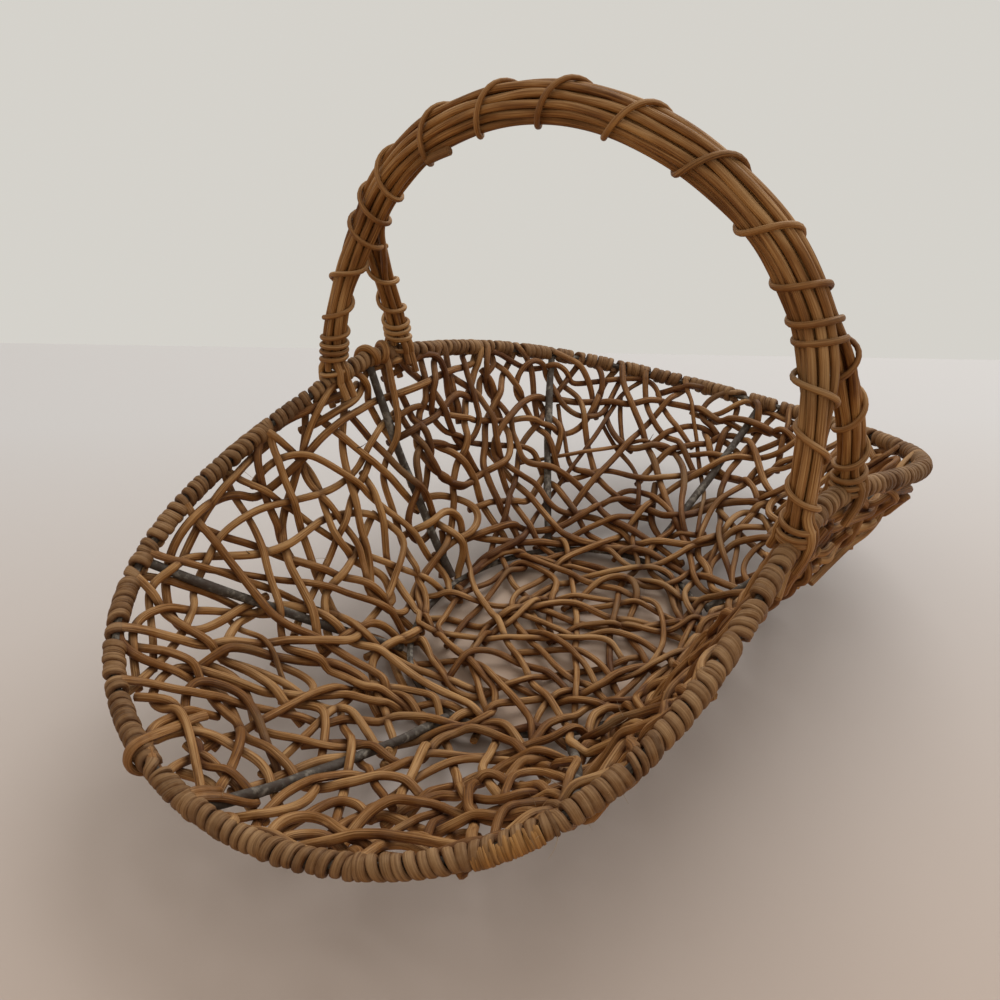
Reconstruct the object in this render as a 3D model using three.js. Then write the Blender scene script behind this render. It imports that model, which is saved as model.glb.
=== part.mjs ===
// Flower-gathering basket: a flared, saddle-shaped bowl of loosely woven cane on a wire frame, with a
// wrapped rim and one high handle of bundled canes that forks into two legs at each side.
// Millimetres, +Z up. The origin is on the table under the middle of the base. +X runs along the basket.
import * as THREE from 'three';

// Gaps between pieces that lie against each other
const SEAT_GAP = 0.3;
const WEAVE_GAP = 0.8;
const CANE_GAP = 0.4;
const FOOT_GAP = 0.4;
const BORE_GAP = 0.6;

// Wire frame: a base ring, a saddle-shaped rim and the ribs between them
const WIRE_DIAMETER = 3.8;
const RIB_DIAMETER = 4.4;
const BASE_RING_HALF_LENGTH = 89.7;
const BASE_RING_HALF_WIDTH = 75.9;
const BASE_RING_HEIGHT = 4.4;
const RIM_END_REACH = 236;
const RIM_WAIST = 136.9;
const RIM_END_HEIGHT = 58.8;
const RIM_WAIST_HEIGHT = 133;
const RIM_CORNER_X = 44;
const RIM_CORNER_Y = 39.8;
const RIM_SHOULDER = 8.2;
const RIM_DIP = 5.2;
const RIB_COUNT = 8;
const RIB_SPLAY = THREE.MathUtils.degToRad(15);
const WALL_BOW = 4;

// Woven cane: the base, the wall between the ribs and the wrap round the rim. An opening's share is of its
// cell's side, and the lean is the share of a cell by which the corners between openings stand off.
const BASE_THICKNESS = 7.4;
const BASE_COLUMNS = 10;
const BASE_ROWS = 2;
const BASE_HUB_SHARE = 0.22;
const WALL_THICKNESS = 6;
const WALL_COLUMNS = 4;
const WALL_ROWS = 4;
const WEAVE_OPENING = 0.68;
const WEAVE_LEAN = 0.17;
const WRAP_THICKNESS = 3.3;

// Handle: two halves of seven canes side by side, each half ending in a leg
const HANDLE_CANE_DIAMETER = 3.8;
const HANDLE_RISE = 152.5;
const HANDLE_OFFSET = -6.8;
const HANDLE_LEAN = -3.8;
const ARCH_SIDE_POWER = 1.09;
const ARCH_TOP_POWER = 0.72;
const FORK_HEIGHT = 87;
const FORK_GATHER_HEIGHT = 44;
const FOOT_SPREAD = 26;
const FOOT_FLARE_HEIGHT = 13;
const FOOT_TAIL = 14;
const FORK_SOFTNESS = 1.3;

// Binding cane on the handle
const BINDING_DIAMETER = 2.8;
const ARCH_TURNS = 12;
const BINDING_GAP = 0.5;
const LEG_TURNS = 5;
const LEG_CLOSE_PITCH = 3.9;
const LEG_PITCH_GROWTH = 0.21;
const LEG_BINDING_HEIGHT = 16;

// Finishes
const WALL_CANE = { color: 0x8a6238, roughness: 0.62, metalness: 0 };
const WRAP_CANE = { color: 0x8d7353, roughness: 0.8, metalness: 0 };
const HANDLE_CANE = { color: 0x8f6537, roughness: 0.55, metalness: 0 };
const BINDING_CANE = { color: 0x85603b, roughness: 0.6, metalness: 0 };
const FRAME_WIRE = { color: 0x3d3935, roughness: 0.7, metalness: 0.3 };

// Facets
const WIRE_SIDES = 6;
const BASE_RING_STEPS = 40;
const RIM_STEPS = 80;
const RIB_STEPS = 6;
const WRAP_STEPS = 9;
const WRAP_SIDES = 8;
const BORE_SIDES = 6;
const CANE_SIDES = 6;
const FOOT_STEPS = 5;
const FORK_STEPS = 5;
const ARCH_STEPS = 16;
const BINDING_SIDES = 6;
const ARCH_TURN_STEPS = 16;
const LEG_TURN_STEPS = 12;
const ARCH_STATIONS = 72;
const GAP_POINTS_PER_TURN = 60;

const wireRadius = WIRE_DIAMETER / 2;
const ribRadius = RIB_DIAMETER / 2;
const wrapRadius = wireRadius + WRAP_THICKNESS;
const caneRadius = HANDLE_CANE_DIAMETER / 2;
const canePitch = HANDLE_CANE_DIAMETER + CANE_GAP;
const bindingRadius = BINDING_DIAMETER / 2;

const basket = new THREE.Group();

function addPiece(name, geometry, finish) {
  const mesh = new THREE.Mesh(geometry, new THREE.MeshStandardMaterial(finish));
  mesh.name = name;
  basket.add(mesh);
}

function polygon(radius, sides) {
  const points = [];
  for (let i = 0; i < sides; i += 1) {
    const angle = (2 * Math.PI * i) / sides;
    points.push(new THREE.Vector2(radius * Math.cos(angle), radius * Math.sin(angle)));
  }
  return points;
}

// A solid tube along an open curve, flat at both ends
function tube(curve, radius, steps, sides) {
  const section = new THREE.Shape(polygon(radius, sides));
  return new THREE.ExtrudeGeometry(section, { steps, extrudePath: curve });
}

const curveThrough = (points) => new THREE.CatmullRomCurve3(points, false, 'centripetal');

// A curve whose place at u, from 0 to 1, is given by a function. Equal steps of u are its stations.
class Route extends THREE.Curve {
  constructor(place) {
    super();
    this.place = place;
  }

  getPoint(u, target = new THREE.Vector3()) {
    return target.copy(this.place(u));
  }

  getPointAt(u, target) {
    return this.getPoint(u, target);
  }

  getTangentAt(u, target) {
    return this.getTangent(u, target);
  }
}

// Goes softly from 0 at one value to 1 at the other
function fade(value, from, to) {
  const share = THREE.MathUtils.clamp((value - from) / (to - from), 0, 1);
  return share * share * (3 - 2 * share);
}

const mix = THREE.MathUtils.lerp;

// Base ring and rim, both as functions of the angle round the base
function baseRingPoint(angle) {
  return new THREE.Vector3(
    BASE_RING_HALF_LENGTH * Math.cos(angle),
    BASE_RING_HALF_WIDTH * Math.sin(angle),
    BASE_RING_HEIGHT,
  );
}

const rimMiddleHeight = (RIM_END_HEIGHT + RIM_WAIST_HEIGHT) / 2 + RIM_DIP;
const rimSaddle = (RIM_WAIST_HEIGHT - RIM_END_HEIGHT) / 2;
const rimSideReach = RIM_WAIST + RIM_CORNER_Y - RIM_SHOULDER;

function rimPoint(angle) {
  const turn = angle - RIB_SPLAY * Math.sin(2 * angle);
  return new THREE.Vector3(
    (RIM_END_REACH - RIM_CORNER_X) * Math.cos(turn) + RIM_CORNER_X * Math.cos(3 * turn),
    rimSideReach * Math.sin(turn) + RIM_CORNER_Y * Math.sin(3 * turn) + RIM_SHOULDER * Math.sin(5 * turn),
    rimMiddleHeight - rimSaddle * Math.cos(2 * turn) - RIM_DIP * Math.cos(4 * turn),
  );
}

const ANGLE_STEP = 1e-4;

// The middle of the wall: share 0 is on the base ring and 1 on the rim
function flatWallPoint(angle, share) {
  return baseRingPoint(angle).lerp(rimPoint(angle), share);
}

function wallNormal(angle, share) {
  const along = flatWallPoint(angle + ANGLE_STEP, share).sub(flatWallPoint(angle - ANGLE_STEP, share));
  const up = rimPoint(angle).sub(baseRingPoint(angle));
  return along.cross(up).normalize();
}

function wallPoint(angle, share, outward = 0) {
  const bow = 4 * share * (1 - share) * WALL_BOW;
  return flatWallPoint(angle, share).addScaledVector(wallNormal(angle, share), bow + outward);
}

const wallDepth = (angle) => rimPoint(angle).distanceTo(baseRingPoint(angle));

// How a rib stands to the hoops of the wall at one place: how far it leans from square to them, as a
// cosine, and how far the wall runs for each unit of angle
function ribStand(angle, share) {
  const along = wallPoint(angle + ANGLE_STEP, share).sub(wallPoint(angle - ANGLE_STEP, share));
  const up = wallPoint(angle, share + ANGLE_STEP).sub(wallPoint(angle, share - ANGLE_STEP)).normalize();
  const rate = along.length() / (2 * ANGLE_STEP);
  return { lean: Math.abs(along.normalize().dot(up)), rate };
}

// The angle by which a piece that runs along a hoop stops short of a rib, when it reaches some depth
// either side of the wall's middle
function ribClearance(angle, share, depth) {
  const { lean, rate } = ribStand(angle, share);
  return (ribRadius + SEAT_GAP + depth * lean) / Math.sqrt(1 - lean * lean) / rate;
}

// The share of the wall's depth by which a rib stops short of the wire that it meets
function ribEnd(angle, share) {
  const { lean } = ribStand(angle, share);
  const distance = (wireRadius + SEAT_GAP + ribRadius * lean) / Math.sqrt(1 - lean * lean);
  return distance / wallDepth(angle);
}

const ribAngle = (index) => (2 * Math.PI * index) / RIB_COUNT;

// Wire frame
const fullTurn = (place) => new Route((u) => place(2 * Math.PI * u));
addPiece(
  'base_ring',
  new THREE.TubeGeometry(fullTurn(baseRingPoint), BASE_RING_STEPS, wireRadius, WIRE_SIDES, true),
  FRAME_WIRE,
);
addPiece(
  'rim_ring',
  new THREE.TubeGeometry(fullTurn(rimPoint), RIM_STEPS, wireRadius, WIRE_SIDES, true),
  FRAME_WIRE,
);
for (let i = 0; i < RIB_COUNT; i += 1) {
  const angle = ribAngle(i);
  const route = new Route((u) => wallPoint(angle, mix(ribEnd(angle, 0), 1 - ribEnd(angle, 1), u)));
  addPiece(`rib_${i + 1}`, tube(route, ribRadius, RIB_STEPS, WIRE_SIDES), FRAME_WIRE);
}

// A sheet of weave: a grid of cells with one opening in each. Its columns run along u and its rows along v,
// and place(u, v, face) gives a point of the sheet on its outer face, 1, or its inner face, -1. A row's upper
// side has a point halfway along in the last row, where the sheet follows a rim.
class WovenSheet {
  constructor(place, columns, rows, closed) {
    Object.assign(this, { place, columns, rows, closed });
    this.positions = [];
    this.index = [];
    this.nodes = new Map();
  }

  // The corners between openings stand off to either side by turns, so that the canes between them lean
  cornerAt(column, row) {
    const inside = row > 0 && row < this.rows && (this.closed || (column > 0 && column < this.columns));
    const lean = inside ? WEAVE_LEAN : 0;
    const u = (column + (row % 2 ? lean : -lean)) / this.columns;
    const v = (row + (column % 2 ? lean : -lean)) / this.rows;
    return [u, v];
  }

  node(key, u, v, face) {
    const name = `${key},${face}`;
    if (!this.nodes.has(name)) {
      this.nodes.set(name, this.positions.length / 3);
      this.positions.push(...this.place(u, v, face).toArray());
    }
    return this.nodes.get(name);
  }

  corner(column, row, face) {
    const [u, v] = this.cornerAt(column, row);
    return this.node([this.closed ? column % this.columns : column, row], u, v, face);
  }

  // Points round a cell, anticlockwise on its outer face
  cellPoints(column, row) {
    const corners = [[0, 0], [1, 0], [1, 1], [0, 1]].map(([i, j]) => this.cornerAt(column + i, row + j));
    if (row === this.rows - 1) {
      const [[right], [left]] = corners.slice(2);
      corners.splice(3, 0, [(left + right) / 2, 1]);
    }
    return corners;
  }

  cellRing(column, row, face) {
    const ring = [[0, 0], [1, 0], [1, 1], [0, 1]].map(([i, j]) => this.corner(column + i, row + j, face));
    const points = this.cellPoints(column, row);
    if (points.length > ring.length) ring.splice(3, 0, this.node(`middle,${column}`, ...points[3], face));
    return ring;
  }

  openingRing(column, row, face) {
    const points = this.cellPoints(column, row);
    const corners = points.length > 4 ? points.filter((point, i) => i !== 3) : points;
    const middle = [0, 1].map((axis) => corners.reduce((sum, point) => sum + point[axis], 0) / 4);
    return points.map(([u, v], i) => this.node(
      `opening,${column},${row},${i}`,
      mix(middle[0], u, WEAVE_OPENING),
      mix(middle[1], v, WEAVE_OPENING),
      face,
    ));
  }

  bridge(from, to) {
    for (let i = 0; i < from.length; i += 1) {
      const next = (i + 1) % from.length;
      this.index.push(from[i], from[next], to[next], from[i], to[next], to[i]);
    }
  }

  fan(ring) {
    for (let i = 1; i < ring.length - 1; i += 1) this.index.push(ring[0], ring[i], ring[i + 1]);
  }

  upperEdge(face) {
    const edge = [];
    for (let column = this.columns - 1; column >= 0; column -= 1) {
      edge.push(...this.cellRing(column, this.rows - 1, face).slice(2, 4));
    }
    return edge;
  }

  lowerEdge(face) {
    const edge = [];
    for (let column = 0; column < this.columns; column += 1) edge.push(this.corner(column, 0, face));
    return edge;
  }

  edge(face) {
    const right = [];
    const left = [];
    for (let row = 0; row < this.rows; row += 1) {
      right.push(this.corner(this.columns, row, face));
      left.unshift(this.corner(0, row + 1, face));
    }
    return [...this.lowerEdge(face), ...right, ...this.upperEdge(face), ...left];
  }

  build() {
    for (let column = 0; column < this.columns; column += 1) {
      for (let row = 0; row < this.rows; row += 1) {
        const [outer, inner] = [1, -1].map((face) => this.cellRing(column, row, face));
        const [outerOpening, innerOpening] = [1, -1].map((face) => this.openingRing(column, row, face));
        this.bridge(outer, outerOpening);
        this.bridge(outerOpening, innerOpening);
        this.bridge(innerOpening, inner);
      }
    }
    if (this.closed) {
      this.bridge(this.upperEdge(-1), this.upperEdge(1));
      this.fan(this.lowerEdge(1).reverse());
      this.fan(this.lowerEdge(-1));
    } else {
      this.bridge(this.edge(-1), this.edge(1));
    }
    const geometry = new THREE.BufferGeometry();
    geometry.setAttribute('position', new THREE.Float32BufferAttribute(this.positions, 3));
    geometry.setIndex(this.index);
    geometry.computeVertexNormals();
    return geometry;
  }
}

// Woven base, flat underneath, inside the base ring. Its outer face is the underside.
const baseInset = wireRadius + SEAT_GAP;
function basePlace(u, v, face) {
  const angle = 2 * Math.PI * u;
  const reach = mix(BASE_HUB_SHARE, 1, v);
  return new THREE.Vector3(
    reach * (BASE_RING_HALF_LENGTH - baseInset) * Math.cos(angle),
    reach * (BASE_RING_HALF_WIDTH - baseInset) * Math.sin(angle),
    face > 0 ? 0 : BASE_THICKNESS,
  );
}
addPiece('base_weave', new WovenSheet(basePlace, BASE_COLUMNS, BASE_ROWS, true).build(), WALL_CANE);

// Woven wall, one curved panel in each bay between two ribs
function wallPanel(startAngle, endAngle) {
  const depth = wallDepth((startAngle + endAngle) / 2);
  const low = (wireRadius + WEAVE_GAP) / depth;
  const high = 1 - (wrapRadius + WEAVE_GAP) / depth;
  const place = (u, v, face) => {
    const share = mix(low, high, v);
    const from = startAngle + ribClearance(startAngle, share, 0);
    const to = endAngle - ribClearance(endAngle, share, 0);
    return wallPoint(mix(from, to, u), share, (face * WALL_THICKNESS) / 2);
  };
  return new WovenSheet(place, WALL_COLUMNS, WALL_ROWS, false).build();
}

for (let i = 0; i < RIB_COUNT; i += 1) {
  addPiece(`side_weave_${i + 1}`, wallPanel(ribAngle(i), ribAngle(i + 1)), WALL_CANE);
}

// Close wrap of cane ends round the rim wire, one sleeve in each bay
function rimWrap(startAngle, endAngle) {
  const from = startAngle + ribClearance(startAngle, 1, wrapRadius);
  const to = endAngle - ribClearance(endAngle, 1, wrapRadius);
  const section = new THREE.Shape(polygon(wrapRadius, WRAP_SIDES));
  section.holes.push(new THREE.Path(polygon(wireRadius + BORE_GAP, BORE_SIDES)));
  const route = new Route((u) => rimPoint(mix(from, to, u)));
  return new THREE.ExtrudeGeometry(section, { steps: WRAP_STEPS, extrudePath: route });
}

for (let i = 0; i < RIB_COUNT; i += 1) {
  addPiece(`rim_wrap_${i + 1}`, rimWrap(ribAngle(i), ribAngle(i + 1)), WRAP_CANE);
}

// Handle: the arch's middle line stands on the rim at the waist, left foot first
const archPoints = [];
for (let i = 0; i <= ARCH_STATIONS; i += 1) {
  const turn = (Math.PI * (1 - Math.cos((Math.PI * i) / ARCH_STATIONS))) / 2;
  const rise = Math.sin(turn) ** ARCH_TOP_POWER;
  const side = Math.sign(Math.cos(turn)) * Math.abs(Math.cos(turn)) ** ARCH_SIDE_POWER;
  archPoints.push(
    new THREE.Vector3(0, RIM_WAIST * side + HANDLE_LEAN * rise, RIM_WAIST_HEIGHT + HANDLE_RISE * rise),
  );
}
const arch = curveThrough(archPoints);
arch.arcLengthDivisions = 10 * ARCH_STATIONS;
const archLength = arch.getLength();

// Section of one half of the arch, in cane pitches across the handle and outward from its own middle.
// The front half and the rear half are the same, turned round, and interlock.
const ROW = Math.sqrt(3) / 2;
const OUTER_ROW = 2 * ROW;
const STAGGER = 1 / 2;
const HALF_MIDDLE = 5 / 7;
const BUNDLE_REACH = 1 + STAGGER;
const HALF_SECTION = [
  [HALF_MIDDLE - STAGGER, OUTER_ROW],
  [HALF_MIDDLE - 1, ROW],
  [HALF_MIDDLE - BUNDLE_REACH, 0],
  [HALF_MIDDLE - STAGGER, 0],
  [HALF_MIDDLE, -ROW],
  [HALF_MIDDLE - 1, -ROW],
  [HALF_MIDDLE - STAGGER, -OUTER_ROW],
];
// Section of a leg: one cane in the middle and six round it
const LEG_SECTION = [
  [STAGGER, ROW],
  [-STAGGER, ROW],
  [-1, 0],
  [0, 0],
  [1, 0],
  [-STAGGER, -ROW],
  [STAGGER, -ROW],
];
const LINE_STEP = 0.5;

// Each foot stands on the rim at its own distance from the waist
function rimAngleAt(x, end) {
  let low = -Math.PI / 4;
  let high = Math.PI / 4;
  for (let i = 0; i < 40; i += 1) {
    const middle = (low + high) / 2;
    if (rimPoint(Math.PI / 2 - middle).x < x) low = middle;
    else high = middle;
  }
  return end * (Math.PI / 2 - low);
}

function footPoint(side, end) {
  return rimPoint(rimAngleAt(side * FOOT_SPREAD, end));
}

function footSlope(side, end) {
  const angle = rimAngleAt(side * FOOT_SPREAD, end);
  return wallPoint(angle, 1).sub(wallPoint(angle, 1 - ANGLE_STEP)).normalize();
}

// Distances run along the handle, from the left side's rim to the right side's
const heightOnLeg = (distance) => Math.min(distance, archLength - distance);
const endOf = (distance) => (distance < archLength / 2 ? 1 : -1);

// Middle line of one half: side -1 is the front half and 1 the rear one. It gathers into the arch, and
// past the rim it runs down along the wall.
function halfLine(side, distance) {
  const end = endOf(distance);
  const height = heightOnLeg(distance);
  const foot = footPoint(side, end);
  if (height < 0) return foot.addScaledVector(footSlope(side, end), height);
  const place = arch.getPointAt(distance / archLength);
  const share = Math.sin((Math.PI / 2) * Math.max(1 - height / FORK_HEIGHT, 0)) ** FORK_SOFTNESS;
  const gathered = HANDLE_OFFSET + side * HALF_MIDDLE * canePitch;
  place.x = mix(gathered, foot.x, share);
  place.y += share * (foot.y - end * RIM_WAIST);
  place.z += share * (foot.z - RIM_WAIST_HEIGHT);
  return place;
}

// A point beside a line, given across the handle and outward from it
function beside(line, distance, across, outward) {
  const step = LINE_STEP;
  const along = line(distance + step).sub(line(distance - step)).normalize();
  const out = new THREE.Vector3(0, along.z, -along.y).normalize();
  const side = out.clone().cross(along);
  return line(distance).addScaledVector(side, across).addScaledVector(out, outward);
}

// How far the section has changed from the arch's to the leg's, and how much the canes loosen on the
// way so that they pass each other
const gatherShare = (height) => fade(height, FORK_HEIGHT - canePitch, FORK_GATHER_HEIGHT);
const loosening = (share) => 1 / Math.sqrt(1 - share * (1 - share));

// Where a cane has its facets: close at the feet, wider through the forks and widest on the arch
function caneStations(overhang) {
  const leg = [];
  for (let i = 0; i < FOOT_STEPS; i += 1) leg.push(mix(overhang, LEG_BINDING_HEIGHT, i / FOOT_STEPS));
  for (let i = 0; i < FORK_STEPS; i += 1) leg.push(mix(LEG_BINDING_HEIGHT, FORK_HEIGHT, i / FORK_STEPS));
  const top = [];
  for (let i = 0; i <= ARCH_STEPS; i += 1) {
    top.push(mix(FORK_HEIGHT, archLength - FORK_HEIGHT, i / ARCH_STEPS));
  }
  return [...leg, ...top, ...leg.map((height) => archLength - height).reverse()];
}

const straddle = wrapRadius + SEAT_GAP + FOOT_GAP + caneRadius;

// Height over its foot at which a piece seated on the rim wrap ends. The rim climbs toward the waist, and
// an end that is square to a leaning cane hangs lower at one side.
function seatHeight(side, across, radius) {
  const x = Math.abs(side * FOOT_SPREAD + across) - radius;
  return rimPoint(rimAngleAt(x, 1)).z - footPoint(1, 1).z + wrapRadius + SEAT_GAP + FOOT_GAP;
}

function handleCane(side, index) {
  const line = (distance) => halfLine(side, distance);
  const [legAcross, legOut] = LEG_SECTION[index];
  const [archAcross, archOut] = HALF_SECTION[index];
  const seated = legOut === 0;
  const overhang = seated ? seatHeight(side, -side * canePitch * legAcross, caneRadius) : -FOOT_TAIL;
  const place = (distance) => {
    const height = heightOnLeg(distance);
    const share = gatherShare(height);
    const spread = -side * canePitch * loosening(share);
    const across = spread * mix(archAcross, legAcross, share);
    const outward = spread * mix(archOut, legOut, share);
    const flare = seated ? 0 : fade(height, FOOT_FLARE_HEIGHT, wrapRadius);
    return beside(line, distance, across, mix(outward, Math.sign(outward) * straddle, flare));
  };
  const stations = caneStations(overhang);
  const steps = stations.length - 1;
  const route = new Route((u) => {
    const station = Math.min(Math.floor(u * steps), steps - 1);
    return place(mix(stations[station], stations[station + 1], u * steps - station));
  });
  return tube(route, caneRadius, steps, CANE_SIDES);
}

for (let i = 0; i < HALF_SECTION.length; i += 1) {
  addPiece(`front_handle_cane_${i + 1}`, handleCane(-1, i), HANDLE_CANE);
  addPiece(`rear_handle_cane_${i + 1}`, handleCane(1, i), HANDLE_CANE);
}

// Least space between two stretches of a wound cane, measured on points of its middle line
function leastGapToItself(curve, turns) {
  const count = GAP_POINTS_PER_TURN * turns;
  const points = curve.getSpacedPoints(count);
  let least = Infinity;
  for (let i = 0; i < points.length; i += 1) {
    for (let j = i + GAP_POINTS_PER_TURN / 2; j < points.length; j += 1) {
      least = Math.min(least, points[i].distanceTo(points[j]));
    }
  }
  return least - BINDING_DIAMETER;
}

// The point one diameter straight on past the end of a wound cane
function straightOn(before, end) {
  return end.clone().add(end.clone().sub(before).setLength(BINDING_DIAMETER));
}

// One unbroken tube through the points
function winding(name, points, turns, turnSteps) {
  const curve = curveThrough(points);
  curve.arcLengthDivisions = 4 * turnSteps * turns;
  console.log(`${name}: least gap to itself ${leastGapToItself(curve, turns).toFixed(2)} mm`);
  addPiece(name, tube(curve, bindingRadius, turnSteps * turns, BINDING_SIDES), BINDING_CANE);
}

// Binding on the arch: an even spiral from fork to fork
const bindingReach = caneRadius + bindingRadius + BINDING_GAP;

function archBinding() {
  const line = (distance) => arch.getPointAt(distance / archLength).setX(HANDLE_OFFSET);
  const across = BUNDLE_REACH * canePitch + bindingReach;
  const outward = Math.hypot(STAGGER, OUTER_ROW) * canePitch + bindingReach;
  const points = [];
  for (let i = 0; i <= ARCH_TURNS * ARCH_TURN_STEPS; i += 1) {
    const turn = i / ARCH_TURN_STEPS;
    const distance = mix(FORK_HEIGHT, archLength - FORK_HEIGHT, turn / ARCH_TURNS);
    const angle = 2 * Math.PI * turn;
    points.push(beside(line, distance, across * Math.cos(angle), outward * Math.sin(angle)));
  }
  points.unshift(straightOn(points[1], points[0]));
  points.push(straightOn(points.at(-2), points.at(-1)));
  winding('arch_binding', points, ARCH_TURNS, ARCH_TURN_STEPS);
}

archBinding();

// Lashing on each leg: close turns over the foot that open out up the leg. Its lower end comes straight
// down onto the rim wrap, on the leg's outer side.
const DROP_SHARES = [0, 0.3, 0.6];

function legBinding(name, side, end) {
  const line = (distance) => halfLine(side, distance);
  const at = (height) => (end > 0 ? height : archLength - height);
  const points = [];
  const lowReach = canePitch + bindingReach;
  const seat = seatHeight(side, side * lowReach, bindingRadius);
  for (const share of DROP_SHARES) {
    const height = mix(seat, LEG_BINDING_HEIGHT, share);
    points.push(beside(line, at(height), side * lowReach, 0));
  }
  for (let i = 1; i <= LEG_TURNS * LEG_TURN_STEPS; i += 1) {
    const turn = i / LEG_TURN_STEPS;
    const height = LEG_BINDING_HEIGHT + LEG_CLOSE_PITCH * turn + LEG_PITCH_GROWTH * turn ** 3;
    const share = gatherShare(height);
    const across = mix(BUNDLE_REACH - HALF_MIDDLE, 1, share) * loosening(share) * canePitch + bindingReach;
    const outward = mix(OUTER_ROW, 1, share) * loosening(share) * canePitch + bindingReach;
    const angle = 2 * Math.PI * turn;
    points.push(beside(line, at(height), side * across * Math.cos(angle), outward * Math.sin(angle)));
  }
  points.push(straightOn(points.at(-2), points.at(-1)));
  winding(name, points, LEG_TURNS, LEG_TURN_STEPS);
}

for (const [end, endName] of [[1, 'left'], [-1, 'right']]) {
  legBinding(`front_${endName}_leg_binding`, -1, end);
  legBinding(`rear_${endName}_leg_binding`, 1, end);
}

export default basket;
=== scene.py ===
# Gathering basket: loosely woven cane on a wire frame, with a wrapped rim and a bundled handle.
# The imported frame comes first. Sizes are in millimetres and become metres where a mesh is made.
import math
import random

import bpy
import numpy as np
from mathutils import Matrix, Vector
from mathutils.kdtree import KDTree


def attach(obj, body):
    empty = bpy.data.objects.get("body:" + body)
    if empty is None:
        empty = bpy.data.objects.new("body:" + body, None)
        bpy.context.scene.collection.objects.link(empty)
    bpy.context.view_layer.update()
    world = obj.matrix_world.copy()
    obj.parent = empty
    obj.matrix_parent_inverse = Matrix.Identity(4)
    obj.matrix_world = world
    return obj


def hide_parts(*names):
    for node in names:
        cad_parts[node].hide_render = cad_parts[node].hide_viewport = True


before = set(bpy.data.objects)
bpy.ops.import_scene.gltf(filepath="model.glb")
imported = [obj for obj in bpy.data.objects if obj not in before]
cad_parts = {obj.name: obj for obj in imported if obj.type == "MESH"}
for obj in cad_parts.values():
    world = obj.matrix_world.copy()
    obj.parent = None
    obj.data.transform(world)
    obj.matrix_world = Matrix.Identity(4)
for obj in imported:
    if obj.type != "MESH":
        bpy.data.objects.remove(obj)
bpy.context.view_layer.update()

MM = 0.001
TWO_PI = 2 * math.pi

# Camera, at the height and angle of the photograph
PICTURE_SIZE = 1000
SENSOR_WIDTH = 36.0
CAMERA_LENS = 37.71
CAMERA_PLACE = np.array([-386.06, -273.98, 360.0])
CAMERA_HEADING = math.atan2(0.63168, 0.77523)
CAMERA_PITCH = math.radians(29.846)
CAMERA_ROLL = math.radians(-0.566)

# Wire frame
WIRE_RADIUS = 1.9
RIB_RADIUS = 2.4
RING_HALF_LENGTH = 89.7
RING_HALF_WIDTH = 75.9
RING_HEIGHT = 4.4
RIM_END_REACH = 236.0
RIM_WAIST = 136.9
RIM_END_HEIGHT = 58.8
RIM_WAIST_HEIGHT = 133.0
RIM_CORNER_X = 44.0
RIM_CORNER_Y = 39.8
RIM_SHOULDER = 8.2
RIM_DIP = 5.2
RIB_COUNT = 8
RIB_SPLAY = math.radians(15.0)
WALL_BOW = 4.0

# Weave
STEP = 2.5
CANE_WIDTHS = (0.92, 1.1)
WALL_CANE = 4.25
BASE_CANE = 3.6
THIN_CANE = 3.1
WRAP_THICKNESS = 3.1
WRAP_RADIUS = WIRE_RADIUS + WRAP_THICKNESS / 2 + 0.05
TURN_PITCH = 4.9
FLAT_RING = 83.0
EDGE_SOFTNESS = 14.0
SMALL_STEP = 1e-4

# Handle
HANDLE_CANE = 3.8
HANDLE_PITCH = 4.1
HANDLE_RISE = 152.5
HANDLE_OFFSET = -6.8
HANDLE_LEAN = -3.8
ARCH_SIDE_POWER = 1.09
ARCH_TOP_POWER = 0.72
FORK_HEIGHT = 87.0
FORK_GATHER_HEIGHT = 44.0
FORK_SOFTNESS = 1.3
FOOT_SPREAD = 26.0
FOOT_FLARE_HEIGHT = 13.0
FOOT_TAIL = 14.0
BINDING = 2.8


def mix(a, b, share):
    return a + (b - a) * share


def fade(value, start, end):
    share = np.clip((value - start) / (end - start), 0, 1)
    return share * share * (3 - 2 * share)


def unit(vectors):
    return vectors / np.linalg.norm(vectors, axis=-1, keepdims=True)


def dot(a, b):
    return np.sum(a * b, axis=-1, keepdims=True)


def flat_cross(a, b):
    return a[..., 0] * b[..., 1] - a[..., 1] * b[..., 0]


def each(value, count):
    return np.broadcast_to(value, (count,))


def rounded(value, power):
    return np.sign(value) * np.abs(value) ** power


def leaning(side, up, angle):
    """The ways across a line at angles that turn from its side toward its up."""
    return side * np.cos(angle)[:, None] + up * np.sin(angle)[:, None]


def travelled(points):
    steps = np.linalg.norm(np.diff(points, axis=0), axis=1)
    return np.concatenate([[0.0], np.cumsum(steps)])


def tree_of(points):
    tree = KDTree(len(points))
    for index, point in enumerate(points):
        tree.insert(point, index)
    tree.balance()
    return tree


# Base ring, rim and the wall between them, by the angle round the base
def ring_point(angle):
    angle = np.asarray(angle, float)
    height = np.full_like(angle, RING_HEIGHT)
    return np.stack([RING_HALF_LENGTH * np.cos(angle), RING_HALF_WIDTH * np.sin(angle), height], -1)


def rim_point(angle):
    turn = angle - RIB_SPLAY * np.sin(2 * angle)
    side = RIM_WAIST + RIM_CORNER_Y - RIM_SHOULDER
    middle = (RIM_END_HEIGHT + RIM_WAIST_HEIGHT) / 2 + RIM_DIP
    saddle = (RIM_WAIST_HEIGHT - RIM_END_HEIGHT) / 2
    x = (RIM_END_REACH - RIM_CORNER_X) * np.cos(turn) + RIM_CORNER_X * np.cos(3 * turn)
    y = side * np.sin(turn) + RIM_CORNER_Y * np.sin(3 * turn) + RIM_SHOULDER * np.sin(5 * turn)
    z = middle - saddle * np.cos(2 * turn) - RIM_DIP * np.cos(4 * turn)
    return np.stack([x, y, z], -1)


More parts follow.
